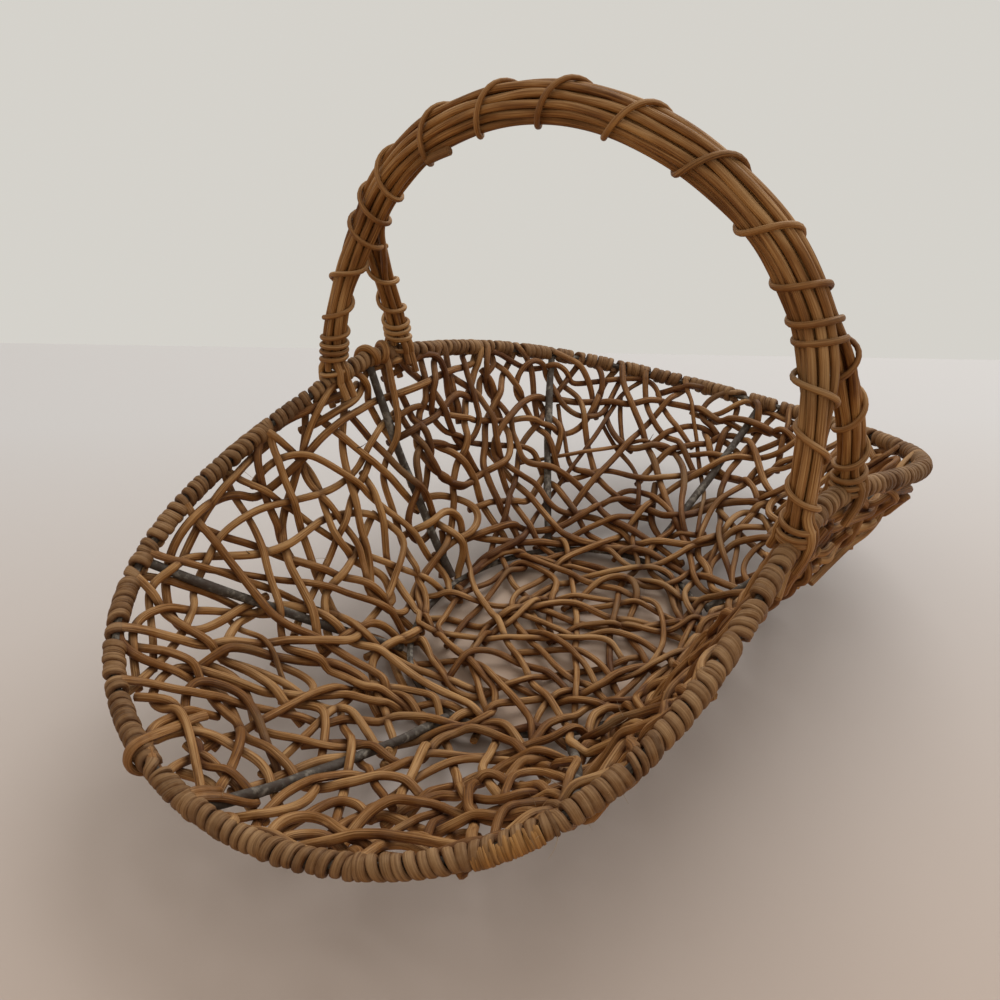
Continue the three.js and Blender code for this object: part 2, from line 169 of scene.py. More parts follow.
def wall_normal(angle, share):
    share = np.asarray(share, float)[..., None]
    ahead = mix(ring_point(angle + SMALL_STEP), rim_point(angle + SMALL_STEP), share)
    behind = mix(ring_point(angle - SMALL_STEP), rim_point(angle - SMALL_STEP), share)
    return unit(np.cross(ahead - behind, rim_point(angle) - ring_point(angle)))


def wall_point(angle, share, outward=0.0):
    share = np.asarray(share, float)
    bow = 4 * share * (1 - share) * WALL_BOW + outward
    flat = mix(ring_point(angle), rim_point(angle), share[..., None])
    return flat + wall_normal(angle, share) * bow[..., None]


def wall_depth(angle):
    return np.linalg.norm(rim_point(angle) - ring_point(angle), axis=-1)


# The basket opened out flat: the base is a disc, and the wall lies round it at its own depth
TURNS = np.linspace(0, TWO_PI, 1441)
HOOP_RUN = travelled(wall_point(TURNS, np.full_like(TURNS, 0.5)))
BEARINGS = HOOP_RUN / HOOP_RUN[-1] * TWO_PI
RIM_RUN = travelled(rim_point(TURNS))
RIM_LENGTH = RIM_RUN[-1]


def angle_of_bearing(bearing):
    return np.interp(np.mod(bearing, TWO_PI), BEARINGS, TURNS)


def bearing_of_angle(angle):
    return np.interp(np.mod(angle, TWO_PI), TURNS, BEARINGS)


def rim_angle(distance):
    return np.interp(np.mod(distance, RIM_LENGTH), RIM_RUN, TURNS)


def flat_reach(bearing):
    return FLAT_RING + wall_depth(angle_of_bearing(bearing))


def sheet_place(bearing, reach):
    return np.stack([reach * np.cos(bearing), reach * np.sin(bearing)], -1)


def lay(flat):
    """Points on the basket, and the way out of it there, for points of the opened-out sheet."""
    reach = np.hypot(flat[:, 0], flat[:, 1])
    angle = angle_of_bearing(np.arctan2(flat[:, 1], flat[:, 0]))
    share = np.clip((reach - FLAT_RING) / wall_depth(angle), 0, 1)
    inner = np.minimum(reach / FLAT_RING, 1.0)
    base = ring_point(angle) * np.stack([inner, inner, np.ones_like(inner)], -1)
    on_wall = (reach > FLAT_RING)[:, None]
    points = np.where(on_wall, wall_point(angle, share), base)
    lift = fade(reach, FLAT_RING - EDGE_SOFTNESS, FLAT_RING + EDGE_SOFTNESS)[:, None]
    normals = unit(mix(np.array([0.0, 0.0, -1.0]), wall_normal(angle, share), lift))
    return points, normals


# Where a point falls in the picture, and back from the picture to the basket's inner side
FORWARD = math.cos(CAMERA_PITCH) * np.array([math.cos(CAMERA_HEADING), math.sin(CAMERA_HEADING), 0.0])
FORWARD[2] = -math.sin(CAMERA_PITCH)
LEVEL = np.array([math.sin(CAMERA_HEADING), -math.cos(CAMERA_HEADING), 0.0])
UPRIGHT = np.cross(LEVEL, FORWARD)
PICTURE_RIGHT = LEVEL * math.cos(CAMERA_ROLL) + UPRIGHT * math.sin(CAMERA_ROLL)
PICTURE_UP = UPRIGHT * math.cos(CAMERA_ROLL) - LEVEL * math.sin(CAMERA_ROLL)
FOCUS = CAMERA_LENS / SENSOR_WIDTH * PICTURE_SIZE
MAP_BEARINGS = 720
MAP_BASE_ROWS = 34
MAP_WALL_ROWS = 70
PICK_REACH = 3.5
PICK_WEIGHT = 6.0
FIND_ROUNDS = 5
FIND_NUDGE = 0.5
LEAST_SPREAD = 0.15
LONGEST_MOVE = 6.0


def sight(x, y):
    """The way from the camera to a place of the picture, as long as the picture's focus."""
    half = PICTURE_SIZE / 2
    return FORWARD * FOCUS + PICTURE_RIGHT * (x - half) + PICTURE_UP * (half - y)


def seen(points):
    away = points - CAMERA_PLACE
    scale = FOCUS / (away @ FORWARD)
    x = PICTURE_SIZE / 2 + scale * (away @ PICTURE_RIGHT)
    y = PICTURE_SIZE / 2 - scale * (away @ PICTURE_UP)
    return np.stack([x, y], -1)


def inner_side_map():
    """The sheet's points whose inner side faces the camera, findable by their place in the picture."""
    bearings = np.linspace(0, TWO_PI, MAP_BEARINGS + 1)[:-1]
    wall = wall_depth(angle_of_bearing(bearings))
    reaches = [share * FLAT_RING for share in np.linspace(0.02, 1, MAP_BASE_ROWS)]
    reaches += [FLAT_RING + share * wall for share in np.linspace(0.01, 1, MAP_WALL_ROWS)]
    flat = np.concatenate([sheet_place(bearings, reach) for reach in reaches])
    points, normals = lay(flat)
    facing = np.sum((points - CAMERA_PLACE) * normals, axis=-1) > 0
    flat, points = flat[facing], points[facing]
    picture = seen(points)
    depth = (points - CAMERA_PLACE) @ FORWARD
    return tree_of([(x, y, 0) for x, y in picture]), flat, depth


INNER_MAP = inner_side_map()


def held_on_sheet(flat):
    reach = np.hypot(flat[:, 0], flat[:, 1])
    most = flat_reach(np.arctan2(flat[:, 1], flat[:, 0]))
    return flat * np.minimum(1.0, most / np.maximum(reach, 1e-6))[:, None]


def found(places):
    """The sheet's points at places of the picture."""
    tree, flats, depths = INNER_MAP
    start = []
    for x, y in places:
        near = tree.find_range((x, y, 0), PICK_REACH) or [tree.find((x, y, 0))]
        start.append(min(near, key=lambda hit: depths[hit[1]] + PICK_WEIGHT * hit[2])[1])
    flat = flats[start].copy()
    for _ in range(FIND_ROUNDS):
        here = seen(lay(flat)[0])
        along = (seen(lay(flat + [FIND_NUDGE, 0])[0]) - here) / FIND_NUDGE
        across = (seen(lay(flat + [0, FIND_NUDGE])[0]) - here) / FIND_NUDGE
        miss = places - here
        spread = flat_cross(along, across)
        least = np.where(spread < 0, -LEAST_SPREAD, LEAST_SPREAD)
        spread = np.where(np.abs(spread) < LEAST_SPREAD, least, spread)
        move = np.stack([flat_cross(miss, across) / spread, flat_cross(along, miss) / spread], -1)
        size = np.linalg.norm(move, axis=1, keepdims=True)
        flat = held_on_sheet(flat + move * np.minimum(1.0, LONGEST_MOVE / np.maximum(size, 1e-9)))
    return flat


# Courses of the canes that the picture shows, each as the places of the picture that it passes
LEFT_WALL_COURSES = [
    "305,392 307,415 306,438 304,456 304,470 309,484 321,497 335,512 348,530 357,548 357,565 361,582"
    " 369,598 380,610 392,616 404,613 412,603 417,588 424,573 433,558 444,545 455,538",
    "303,400 316,414 331,427 345,440 358,452 372,464 390,478 404,491 416,501 430,513 444,528 453,541",
    "266,428 270,445 275,461 280,478 286,494 292,508 301,528 311,550 321,572 332,595 341,615 347,632",
    "266,434 285,446 299,453 309,463 317,478 322,495 327,511 330,528",
    "253,487 262,472 275,460 290,455 303,456 316,461 331,469 345,478 358,486 372,497 385,510 396,519"
    " 408,531 420,546 431,558 441,570 446,583 449,595",
    "480,358 475,363 455,369 438,376 420,385 400,393 385,398 376,401 358,411 341,420 328,430 314,443"
    " 303,457 291,469 280,481 268,491 256,499",
    "350,392 347,412 345,430 344,450 346,468 350,487 354,507 357,525 362,543 367,556 369,570 372,585"
    " 373,598",
    "353,411 360,420 372,436 383,452 392,466 403,478",
    "394,362 407,371 419,376 430,384 435,395 437,406 444,421 456,436 466,452 478,467",
    "382,354 386,375 390,392 393,408 394,425 392,442 389,458 385,468 385,480 390,496 396,514 400,532"
    " 404,552 411,574 417,592 421,610 424,628",
    "386,365 395,395 403,411 412,427 420,443 428,460 437,476 450,486 463,486 480,477",
    "404,392 413,408 420,427 428,443 432,456 432,470 429,486 426,500 424,512",
    "425,444 416,452 414,466 417,481 411,497 407,512 407,528 413,539 424,543 434,537 438,526 432,515"
    " 427,505",
    "397,418 409,409 424,405 438,409 451,416 464,420",
    "403,437 416,427 430,420 441,410 449,398 458,393 468,400",
    "400,413 388,422 376,434 368,447 363,462 353,476 338,486 320,494 300,499 281,504 262,508 246,516"
    " 231,526 218,538 211,552 204,568 199,584 196,600 191,617 182,633 170,649 156,664 140,680 124,694",
    "221,458 228,476 234,489 242,503 251,520 257,537 261,555 266,575 272,594 278,614 281,632 287,650",
    "224,464 240,480 255,487 270,496 285,505 302,515 320,527 336,537 352,545 368,554 385,562 401,570"
    " 418,579 434,588 446,597",
    "256,500 246,494 232,494 217,499 203,508 190,520 180,533 173,547 170,562 170,580 171,598 176,612"
    " 185,623 200,627 216,622 232,614 246,604 260,598",
    "176,499 187,511 196,522 205,534 214,547 224,560 235,574 246,589 256,603",
    "203,524 217,531 232,537 250,542 266,548 282,555 300,562 320,569 340,577 358,584 371,593 383,603"
    " 396,612 410,620 420,630",
    "172,572 178,562 190,556 210,554 235,555 260,554 278,550 291,543 302,534 314,525 327,518 341,514"
    " 357,512 372,514 385,522 398,534",
    "150,556 164,560 178,563 198,568 218,572 238,578 258,584 276,589 292,595 308,601 322,607 338,614"
    " 352,620 366,626",
    "130,568 146,571 162,576 178,581 195,585 212,590 230,596 248,603",
    "132,578 148,591 158,602 168,613 178,624 190,634 203,641 216,650 230,661 243,668",
    "149,588 151,603 153,620 156,638 157,655",
    "122,632 150,635 170,639 190,642 215,643 240,643 265,643 290,644 312,647 330,649 343,648",
    "122,637 144,645 158,650 172,655 184,661 194,669 203,682 209,692 215,702 224,715 233,727 243,735"
    " 255,742 268,751 282,762",
    "194,667 182,663 170,667 161,676 155,688 150,699 158,709 170,717 180,727 187,741 193,756 199,772"
    " 208,796",
    "206,686 197,682 188,684 186,697 187,712 189,728 196,743",
    "118,684 140,686 158,690 176,695 195,698 215,702 238,705 260,708 282,711 304,714 326,719",
    "190,668 204,663 220,656 236,652 254,652 275,656 300,659 322,663 342,670 358,679 371,691 380,706",
    "196,670 212,675 228,679 241,684 253,689 270,690 285,691 296,697",
    "214,662 228,667 241,676 249,688 254,702",
    "205,686 222,690 237,699 249,712 258,727 266,741 275,755 282,766",
    "138,770 143,754 151,742 162,735 180,733 198,734 214,738 232,745 248,752 262,762 272,777 279,793"
    " 284,808",
    "152,778 175,762 190,752 206,742 222,734 240,728 258,722 275,716 290,709 303,702 320,696 340,688"
    " 352,684",
    "186,742 200,753 214,761 230,771 244,784 257,797 268,809",
    "224,652 228,640 233,629 242,618 254,610 268,605 282,602 294,604 300,609",
    "230,655 246,662 264,671 282,681 298,690 314,697",
    "246,668 258,678 272,690 286,702 302,712",
    "402,545 396,560 391,576 388,592 380,607 370,619 362,628",
    "378,512 371,523 365,537 358,551 347,566 336,579 326,591 323,603 327,616 333,630 335,644",
    "326,650 338,642 352,634 366,628 380,626 394,631 404,637",
    "288,632 303,636 318,643 333,652 349,662 364,671 378,681 388,693",
    "356,640 370,648 384,656 396,664 408,673",
    "368,632 380,635 393,640 404,648 413,659 419,672",
]
FAR_WALL_COURSES = [
    "478,344 478,362 475,380 470,396 465,412 462,428 463,444 459,460 456,475 455,490 455,505 453,520"
    " 451,533",
    "484,344 482,362 484,378 493,391 501,404 508,417 512,430 515,443 518,456",
    "490,340 497,352 496,364 489,373 481,380 483,392",
    "484,372 492,388 500,403 506,420 508,438 508,452 501,464 487,470 476,478 464,487 451,487 441,478"
    " 430,466 424,452",
    "480,406 489,422 491,438 495,452 502,462 510,470 520,478 531,483 539,491 543,501 552,510 563,514"
    " 576,514 590,510 604,505 618,500 632,500",
    "518,345 512,361 505,376 498,392 492,408 488,420 485,436 484,452 482,466 487,481 493,496 500,508"
    " 507,518 511,527",
    "503,421 512,411 522,403 533,397 546,396 560,397 575,400 590,401 605,402 622,405 640,404 655,401"
    " 668,402 683,406 698,411 711,418 725,423 742,424 758,428 774,432 790,437",
    "514,343 524,350 529,364 534,380 537,395 540,408",
    "557,395 553,380 546,367 534,362 523,366 517,378 519,392 527,407 536,421 544,436 550,450 556,463"
    " 563,472",
    "552,350 556,365 563,379 573,391 580,403 582,418 586,434 590,450 595,465 598,478",
    "550,355 566,361 578,367 587,379 594,393 596,407",
    "577,353 588,353 597,363 601,378 602,392 598,404",
    "620,360 613,369 605,383 598,397 592,411 584,423 574,431 560,433 546,428 534,421 522,418 508,421"
    " 492,421",
    "556,397 563,406 573,414 586,418 598,417 606,409 612,396",
    "583,357 570,376 561,388 553,400 546,411 540,422 532,430 525,440 521,450 519,463 516,478 511,490"
    " 506,500",
    "545,398 551,410 557,422 560,437 558,452 553,465 545,475 540,484",
    "622,364 624,393 631,409 639,425 645,440 651,454 656,468 660,482 664,496 669,510",
    "645,373 645,390 647,405 651,419 661,430 672,438 682,449 689,461 696,471",
    "690,382 680,390 669,402 657,413 645,425 634,438 623,451 611,464 598,477 587,489 577,501 568,513"
    " 558,524 547,535",
    "645,443 656,440 667,432 680,425 694,423 708,427 721,434 733,443",
    "608,405 608,418 611,430 618,441 627,449 639,451 650,447 660,447",
    "563,477 576,477 590,472 606,470 622,475 637,481 655,482 672,478 690,473 707,469 722,470 736,474"
    " 748,482 756,492 758,505",
    "637,482 645,472 657,460 670,451 685,446 702,442 717,436 730,431 741,434 750,443 756,456 760,470"
    " 765,484 774,494 785,497",
    "706,432 709,444 712,457 720,469 733,477 748,477 762,471 776,465 790,458",
    "782,403 774,409 764,420 756,432 749,444 741,456 732,468 725,481 719,494 719,510 720,525",
    "740,393 725,395 712,399 703,407 700,418 710,424",
    "757,468 747,480 736,489 725,499 715,509 708,522 703,535 697,548",
    "672,520 682,514 691,506 702,499 716,496 732,498 748,497 762,502 776,499",
    "674,524 688,517 703,509 717,504 732,502 748,503 763,503",
    "733,520 741,509 752,507 762,514 767,524 774,535 785,541",
    "712,540 724,530 738,521 752,513 763,506",
    "716,545 730,534 745,529 760,522 776,519 790,512",
    "634,546 644,537 658,533 673,535 688,537 702,534",
    "598,508 608,499 619,491 632,487 644,493 655,502 665,510 675,523 682,537 688,551 692,563 695,577",
    "592,474 600,481 608,490 619,498 633,504 648,510 658,518 668,525",
    "578,512 591,514 604,520 616,529 627,538 635,547",
    "712,470 697,475 681,482 666,491 653,502 642,514 630,526 618,538 606,550",
    "653,497 651,512 652,525 660,535",
    "536,455 543,467 551,478 559,490 566,501 573,512 581,524",
    "441,443 452,452 461,463 470,474 478,489 486,504 494,518 502,531",
    "424,500 437,495 451,494 464,499 474,506 479,516 474,526 467,534",
    "478,507 492,501 508,501 523,503",
    "428,522 436,512 447,510 457,517 462,530 463,543",
    "466,540 480,533 496,528 512,525 526,529 540,533 556,531 570,525 583,518",
    "428,441 444,443 460,447",
    "441,350 447,362 452,376 456,392 460,408 463,422",
    "449,366 457,377 466,385 474,393 478,404",
    "423,350 422,365 423,380 425,395 422,410",
    "436,344 432,356 430,370 427,384",
    "457,540 460,555 459,570 461,583",
    "445,530 448,545 450,560 449,575",
    "500,530 494,543 488,556 480,566",
    "502,533 508,545 515,556",
    "517,535 520,548 525,560",
    "858,432 866,444 873,456",
    "856,472 866,462 878,457 890,461 900,468",
    "858,478 868,470 882,464 896,456",
]
NEAR_WALL_COURSES = [
    "283,692 300,700 314,707 323,719 325,735 323,752 320,770 315,789 303,804 285,811 262,816 240,814"
    " 220,803",
    "345,706 347,730 350,748 349,764 346,780 342,796 338,810",
    "270,760 284,750 297,740 310,730 322,719 334,708 347,699",
    "262,725 278,734 297,740 316,746 336,750 356,749 372,752 386,759 400,764 416,760 435,756 455,757"
    " 475,757 497,756 520,756",
    "356,742 363,756 368,771 375,785 383,798 390,809",
    "276,800 290,792 306,786 325,781 345,777 365,774 385,770 405,765 424,759",
    "318,782 336,785 356,786 376,784 396,783 412,788 425,792",
    "260,846 272,830 285,821 302,818 318,822 331,831 340,838",
    "268,848 284,836 300,836 318,836 336,839 352,847 366,860",
    "298,816 312,811 326,806 341,803 354,807 366,815",
    "322,838 343,822 356,814 369,807 382,799 392,790",
    "330,838 346,831 361,822 378,816 395,812 412,811 430,812",
    "366,828 382,827 400,830 418,836 437,843 456,853",
    "372,860 384,846 400,841 418,843 436,848",
    "386,688 398,698 410,708 423,717 436,727 444,738",
    "342,695 352,698 364,703 380,708 402,706 425,706 446,709 463,714 478,716",
    "346,716 366,717 386,718 406,720 426,724 442,730",
    "418,766 426,753 434,741 445,730 458,720 477,714",
    "425,755 438,745 453,739 470,739 487,743 503,750 518,757 533,764",
    "448,724 463,730 480,732 497,733 512,740 525,747 536,758",
    "552,734 541,741 531,750 520,757",
    "418,773 436,767 455,762 475,760 497,761 520,762 543,764 562,768 578,770",
    "455,765 458,780 463,794 471,803 474,818 473,834 474,852",
    "410,802 424,795 438,787 452,779 466,772 482,766 498,763",
    "470,806 471,793 478,782 490,773 505,767 520,766",
    "424,836 433,824 442,812 455,804 470,804 486,808 502,808 518,804",
    "482,776 491,785 501,795 512,803",
    "500,806 509,793 518,781 531,775 547,775 563,778 578,776 592,768",
    "503,782 515,773 528,767 543,765",
    "528,752 548,751 566,747 583,738 598,727",
    "560,766 577,760 592,750 606,738",
    "562,778 578,771 593,760 607,748",
    "576,745 588,736 600,726 613,718 628,714 643,713 652,702 662,692 674,684 688,676",
    "566,762 580,752 594,742 609,733 624,726 640,716",
    "562,770 577,764 592,756 606,750 620,742 634,732",
    "644,712 647,697 650,683 659,674 672,670 685,663 697,653 706,642 710,630",
    "352,716 364,728 376,740 386,750",
    "404,812 398,800 402,788 410,780",
    "356,822 346,810 338,806",
    "436,840 448,828 462,818 476,826",
    "490,838 500,826 512,818 526,812",
]
BASE_COURSES = [
    "418,596 436,598 458,601 482,604 504,606 516,601",
    "424,616 440,614 455,617 470,622 486,625",
    "448,642 460,628 473,613 487,598 499,584 509,574 523,571",
    "436,634 446,619 455,604 463,594 475,588 488,586 497,580",
    "466,657 472,646 481,633 491,622 504,617 518,617 532,621 547,627 561,633",
    "470,660 479,646 489,634 500,623 513,613 526,605 541,601 560,600 582,600 604,600 626,600",
    "505,615 517,604 531,595 547,588 563,581 581,577 601,577 621,577",
    "518,594 533,586 548,575 562,566 576,560 590,556",
    "492,580 502,572 513,567 525,566 537,571 548,578",
    "516,566 530,562 546,564 562,569 580,571 600,572 619,576 638,582 655,587 668,592",
    "524,564 538,568 553,573 568,577 583,581 599,586 615,591 630,597 645,600",
    "566,606 579,598 592,589 606,583 621,582 637,585",
    "520,612 538,611 555,607 572,607 589,612 606,618 626,621 645,622 659,626 670,633 682,637",
    "545,612 560,616 577,620 594,624 610,628 628,630",
    "548,640 561,634 575,629 593,628 612,629 630,631 645,629 657,626",
    "566,636 582,635 602,634 622,636 637,641 650,648 661,656 668,662",
    "416,634 434,637 456,638 480,640 504,641 526,642 545,641 562,641 580,642 600,640 611,643 618,652",
    "512,650 526,648 540,648",
    "426,660 442,659 458,659 470,661",
    "444,682 455,673 466,664 478,657 492,654 506,657 519,661 532,667 545,673 556,679 566,687",
    "440,638 449,647 459,656 471,662 484,668 497,675 510,681 523,687 536,693 549,699",
    "483,606 489,614 496,622 502,633 508,644 515,655 523,665 529,676 535,687 542,698 551,708 559,719"
    " 566,730 572,740",
    "514,620 518,629 526,637 536,646 546,656 555,667 565,675",
    "528,604 534,613 539,624 545,634 553,641",
    "540,638 552,643 563,651 575,658 586,667 594,678 599,688",
    "560,650 574,654 588,659 600,666 609,676 616,689",
    "558,588 552,600 549,614 549,627 555,638",
    "557,541 565,549 568,562 571,578 574,594 576,612 576,630 575,648 576,664 577,680 575,700 575,720",
    "619,584 618,598 616,612 612,627 609,642 609,657 611,672",
    "636,604 630,614 627,626 630,636 636,645 642,655 648,665 654,674",
    "416,675 432,677 446,682 459,687 472,689 484,688",
    "433,663 439,675 447,685 458,693 471,697 484,696 495,689 508,685 523,682 538,678 553,673 570,669"
    " 588,668 604,665 618,661 634,656",
    "478,681 479,692 483,703 489,712",
    "462,660 472,668 481,676 486,685",
    "493,684 501,691 509,701 518,711 526,722 531,735 533,748",
    "474,738 479,724 488,712 502,707 520,704 538,701 553,697 570,697 587,696 602,692",
    "560,697 549,702 542,711 537,722 533,733",
    "545,699 560,702 575,706 592,709 608,712",
    "578,724 582,714 590,707 601,706 613,710 626,714",
    "497,692 495,705 492,717 486,729",
    "570,693 583,690 597,687 611,684 626,683",
    "596,692 605,700 614,707 622,713",
    "612,684 624,679 638,675 652,672",
    "616,703 622,696 631,690 636,682",
    "472,576 482,566 493,559 507,556 521,559 537,562 553,560 568,555 584,551 600,551 611,557 620,567"
    " 631,574 646,577 660,575 671,579 677,590 679,604 682,618",
    "664,582 671,591 673,604 677,616 684,626",
    "578,606 598,606 616,604 632,604 647,608 661,614 674,620 686,627",
    "650,600 657,608 661,620 663,634 663,648",
    "676,634 688,629 700,625 712,624",
    "683,622 691,613 702,608 714,605 728,604",
    "686,604 700,603 714,601 727,599",
    "688,614 684,602 689,590 697,580 705,568 711,556 717,545",
    "695,582 702,591 714,594 728,592",
    "711,590 708,577 710,565 717,556 727,549",
    "678,586 688,576 698,564 708,552 718,541",
    "655,572 670,566 684,558 698,549 711,541 722,533",
    "647,573 648,560 655,549 665,540 675,532",
    "720,540 723,553 728,567 730,582",
    "737,533 736,547 734,561 731,575 730,588",
    "766,538 756,547 746,557 741,567 745,578",
    "735,592 748,580 759,567 769,554 777,541",
    "500,560 507,572 512,583 523,592 531,600",
    "466,568 469,580 474,592 479,604",
    "438,546 430,558 424,570 418,582",
    "440,560 449,572 457,583 463,592",
    "418,640 428,652 432,664",
    "420,622 432,632 440,642",
    "530,612 540,600 550,592",
    "484,640 494,630 506,628",
]
THIN_COURSES = [
    "561,408 561,424 565,440 568,456 572,468",
    "522,461 537,457 556,456 576,455 595,451 613,447 630,442 645,442 657,446 670,451 684,448",
    "650,374 638,381 627,389 620,396 612,409 603,424 594,438 584,451 573,466 563,479 554,492 544,505"
    " 534,518 526,532",
    "683,386 691,403 693,420 697,437 698,453 700,469 703,485 704,500 701,515 699,530",
    "622,396 621,412 622,428 624,442 632,450",
    "614,440 622,452 632,465 638,479 639,495 637,511 635,527 633,543 634,556 640,568",
    "236,617 247,627 260,639 269,652 277,665 285,678",
]
rng = random.Random(21)


def places_of(course):
    return np.array([[float(v) for v in place.split(",")] for place in course.split()])


def respaced(points, step):
    run = travelled(points)
    count = max(3, int(round(run[-1] / step)) + 1)
    places = np.linspace(0, run[-1], count)
    return np.stack([np.interp(places, run, points[:, k]) for k in range(points.shape[1])], -1)


def through(points, per_span=8):
    """A smooth curve through points, by centripetal Catmull-Rom."""
    ends = np.concatenate([[2 * points[0] - points[1]], points, [2 * points[-1] - points[-2]]])
    curve = []
    for k in range(len(points) - 1):
        a, b, c, d = ends[k : k + 4]
        t0 = 0.0
        t1 = t0 + max(np.linalg.norm(b - a), 1e-4) ** 0.5
        t2 = t1 + max(np.linalg.norm(c - b), 1e-4) ** 0.5
        t3 = t2 + max(np.linalg.norm(d - c), 1e-4) ** 0.5
        t = np.linspace(t1, t2, per_span, endpoint=False)[:, None]
        ab = a * (t1 - t) / (t1 - t0) + b * (t - t0) / (t1 - t0)
        bc = b * (t2 - t) / (t2 - t1) + c * (t - t1) / (t2 - t1)
        cd = c * (t3 - t) / (t3 - t2) + d * (t - t2) / (t3 - t2)
        abc = ab * (t2 - t) / (t2 - t0) + bc * (t - t0) / (t2 - t0)
        bcd = bc * (t3 - t) / (t3 - t1) + cd * (t - t1) / (t3 - t1)
        curve.append(abc * (t2 - t) / (t2 - t1) + bcd * (t - t1) / (t2 - t1))
    curve.append(points[-1:])
    return np.concatenate(curve)


def softened(points, passes):
    points = points.copy()
    for _ in range(passes):
        points[1:-1] = points[1:-1] * 0.5 + (points[:-2] + points[2:]) * 0.25
    return points


def bearings_and_depths(flat):
    """Bearings, and depths as 0 at the middle, 1 at the base ring and 2 at the rim."""
    reach = np.hypot(flat[:, 0], flat[:, 1])
    bearing = np.unwrap(np.arctan2(flat[:, 1], flat[:, 0]))
    on_wall = 1 + (reach - FLAT_RING) / (flat_reach(bearing) - FLAT_RING)
    return bearing, np.where(reach < FLAT_RING, reach / FLAT_RING, on_wall)


def sheet_points(bearing, depth):
    wall = flat_reach(bearing) - FLAT_RING
    return sheet_place(bearing, np.where(depth < 1, depth * FLAT_RING, FLAT_RING + (depth - 1) * wall))


# How much cane lies in each place of the opened-out sheet
CELL = 6.0
SHEET_HALF = 276.0
CELLS = int(2 * SHEET_HALF / CELL)
SPREAD = 3
SPREAD_SOFTNESS = 3.2
BASE_FULLNESS = 0.17
WALL_FULLNESS = 0.205
RING_FULLNESS = 0.06
RING_BAND = 0.22
COUNTED_DEPTH = 1.93
OFFSETS = range(-SPREAD, SPREAD + 1)
KERNEL = np.array([[math.exp(-(i * i + j * j) / SPREAD_SOFTNESS) for j in OFFSETS] for i in OFFSETS])
KERNEL /= KERNEL.sum() * CELL * CELL


def cell_centres():
    centres = (np.arange(CELLS) + 0.5) * CELL - SHEET_HALF
    x, y = np.meshgrid(centres, centres, indexing="ij")
    return np.stack([x.ravel(), y.ravel()], -1)


def true_area(flat):
    """How much of the basket's surface a small square of the flat sheet stands for."""
    step = 0.5
    along = lay(flat + [step, 0])[0] - lay(flat - [step, 0])[0]
    across = lay(flat + [0, step])[0] - lay(flat - [0, step])[0]
    return np.maximum(np.linalg.norm(np.cross(along, across), axis=-1), 0.25)


CENTRES = cell_centres()
AREA = true_area(CENTRES).reshape(CELLS, CELLS)
laid = np.zeros((CELLS, CELLS))


def wanted_cane(flat):
    """Length of cane for each square millimetre: closest round the base ring."""
    depth = bearings_and_depths(flat)[1]
    near_ring = np.exp(-(((depth - 1.0) / RING_BAND) ** 2))
    return np.where(depth < 1, BASE_FULLNESS, WALL_FULLNESS) + RING_FULLNESS * near_ring


WANTED = wanted_cane(CENTRES).reshape(CELLS, CELLS)
ON_SHEET = bearings_and_depths(CENTRES)[1].reshape(CELLS, CELLS) < COUNTED_DEPTH


def cells_of(flat):
    return np.clip(((flat + SHEET_HALF) / CELL).astype(int), SPREAD, CELLS - SPREAD - 1)


def note_laid(flat):
    real = lay(flat)[0]
    lengths = np.linalg.norm(np.diff(real, axis=0), axis=1)
    for (i, j), length in zip(cells_of(flat[1:]), lengths):
        near = (slice(i - SPREAD, i + SPREAD + 1), slice(j - SPREAD, j + SPREAD + 1))
        laid[near] += KERNEL * length / AREA[near]


def fullness(flat):
    cells = cells_of(flat)
    return laid[cells[:, 0], cells[:, 1]] / WANTED[cells[:, 0], cells[:, 1]]


# Canes that the picture shows
RIM_CATCH = 8.5
canes = []


def new_cane(route, width, kind, on_rim):
    return {"route": route, "width": width, "kind": kind, "on_rim": on_rim, "side": [0, 0]}


def add_cane(route, width, kind):
    reach = np.hypot(route[:, 0], route[:, 1])
    most = flat_reach(np.arctan2(route[:, 1], route[:, 0]))
    held = []
    for end in (0, -1):
        on_rim = most[end] - reach[end] < RIM_CATCH
        if on_rim:
            route[end] *= most[end] / reach[end]
        held.append(bool(on_rim))
    route = respaced(route, STEP)
    note_laid(route)
    canes.append(new_cane(route, width, kind, held))


def lay_course(course, width, kind):
    flat = softened(through(found(places_of(course))), 2)
    add_cane(flat, width * rng.uniform(*CANE_WIDTHS), kind)
    return flat


seen_courses = []
for kind, width, courses in (
    ("wall", WALL_CANE, LEFT_WALL_COURSES),
    ("wall", WALL_CANE, FAR_WALL_COURSES),
    ("wall", WALL_CANE, NEAR_WALL_COURSES),
    ("wall", THIN_CANE, THIN_COURSES),
    ("base", BASE_CANE, BASE_COURSES),
):
    for course in courses:
        seen_courses.append((kind, width, lay_course(course, width, kind)))

# A course that ends under another goes on as the nearest one that carries its line on
JOIN_REACH = 30.0
JOIN_TURN = math.radians(62)
LINK_SOFTNESS = 3
WIDTH_SOFTNESS = 12
TUCK_REACH = 26.0
TUCK_BACK = 2.5
TUCK_PAST = 1.6
TUCK_STEEPNESS = 0.35
LEAST_CROSS = 1e-6


def ends_of_canes(on_rim):
    """Each end of a cane that is on the rim, or each that is not."""
    both = [(number, cane, end) for number, cane in enumerate(canes) for end in (0, 1)]
    return [place for place in both if place[1]["on_rim"][place[2]] == on_rim]


def heading_at(route, end, span=5):
    if end == 0:
        return unit(route[0] - route[min(span, len(route) - 1)])
    return unit(route[-1] - route[max(-1 - span, -len(route))])


def turn_between(a, b):
    return math.acos(max(-1.0, min(1.0, float(np.dot(a, b)))))


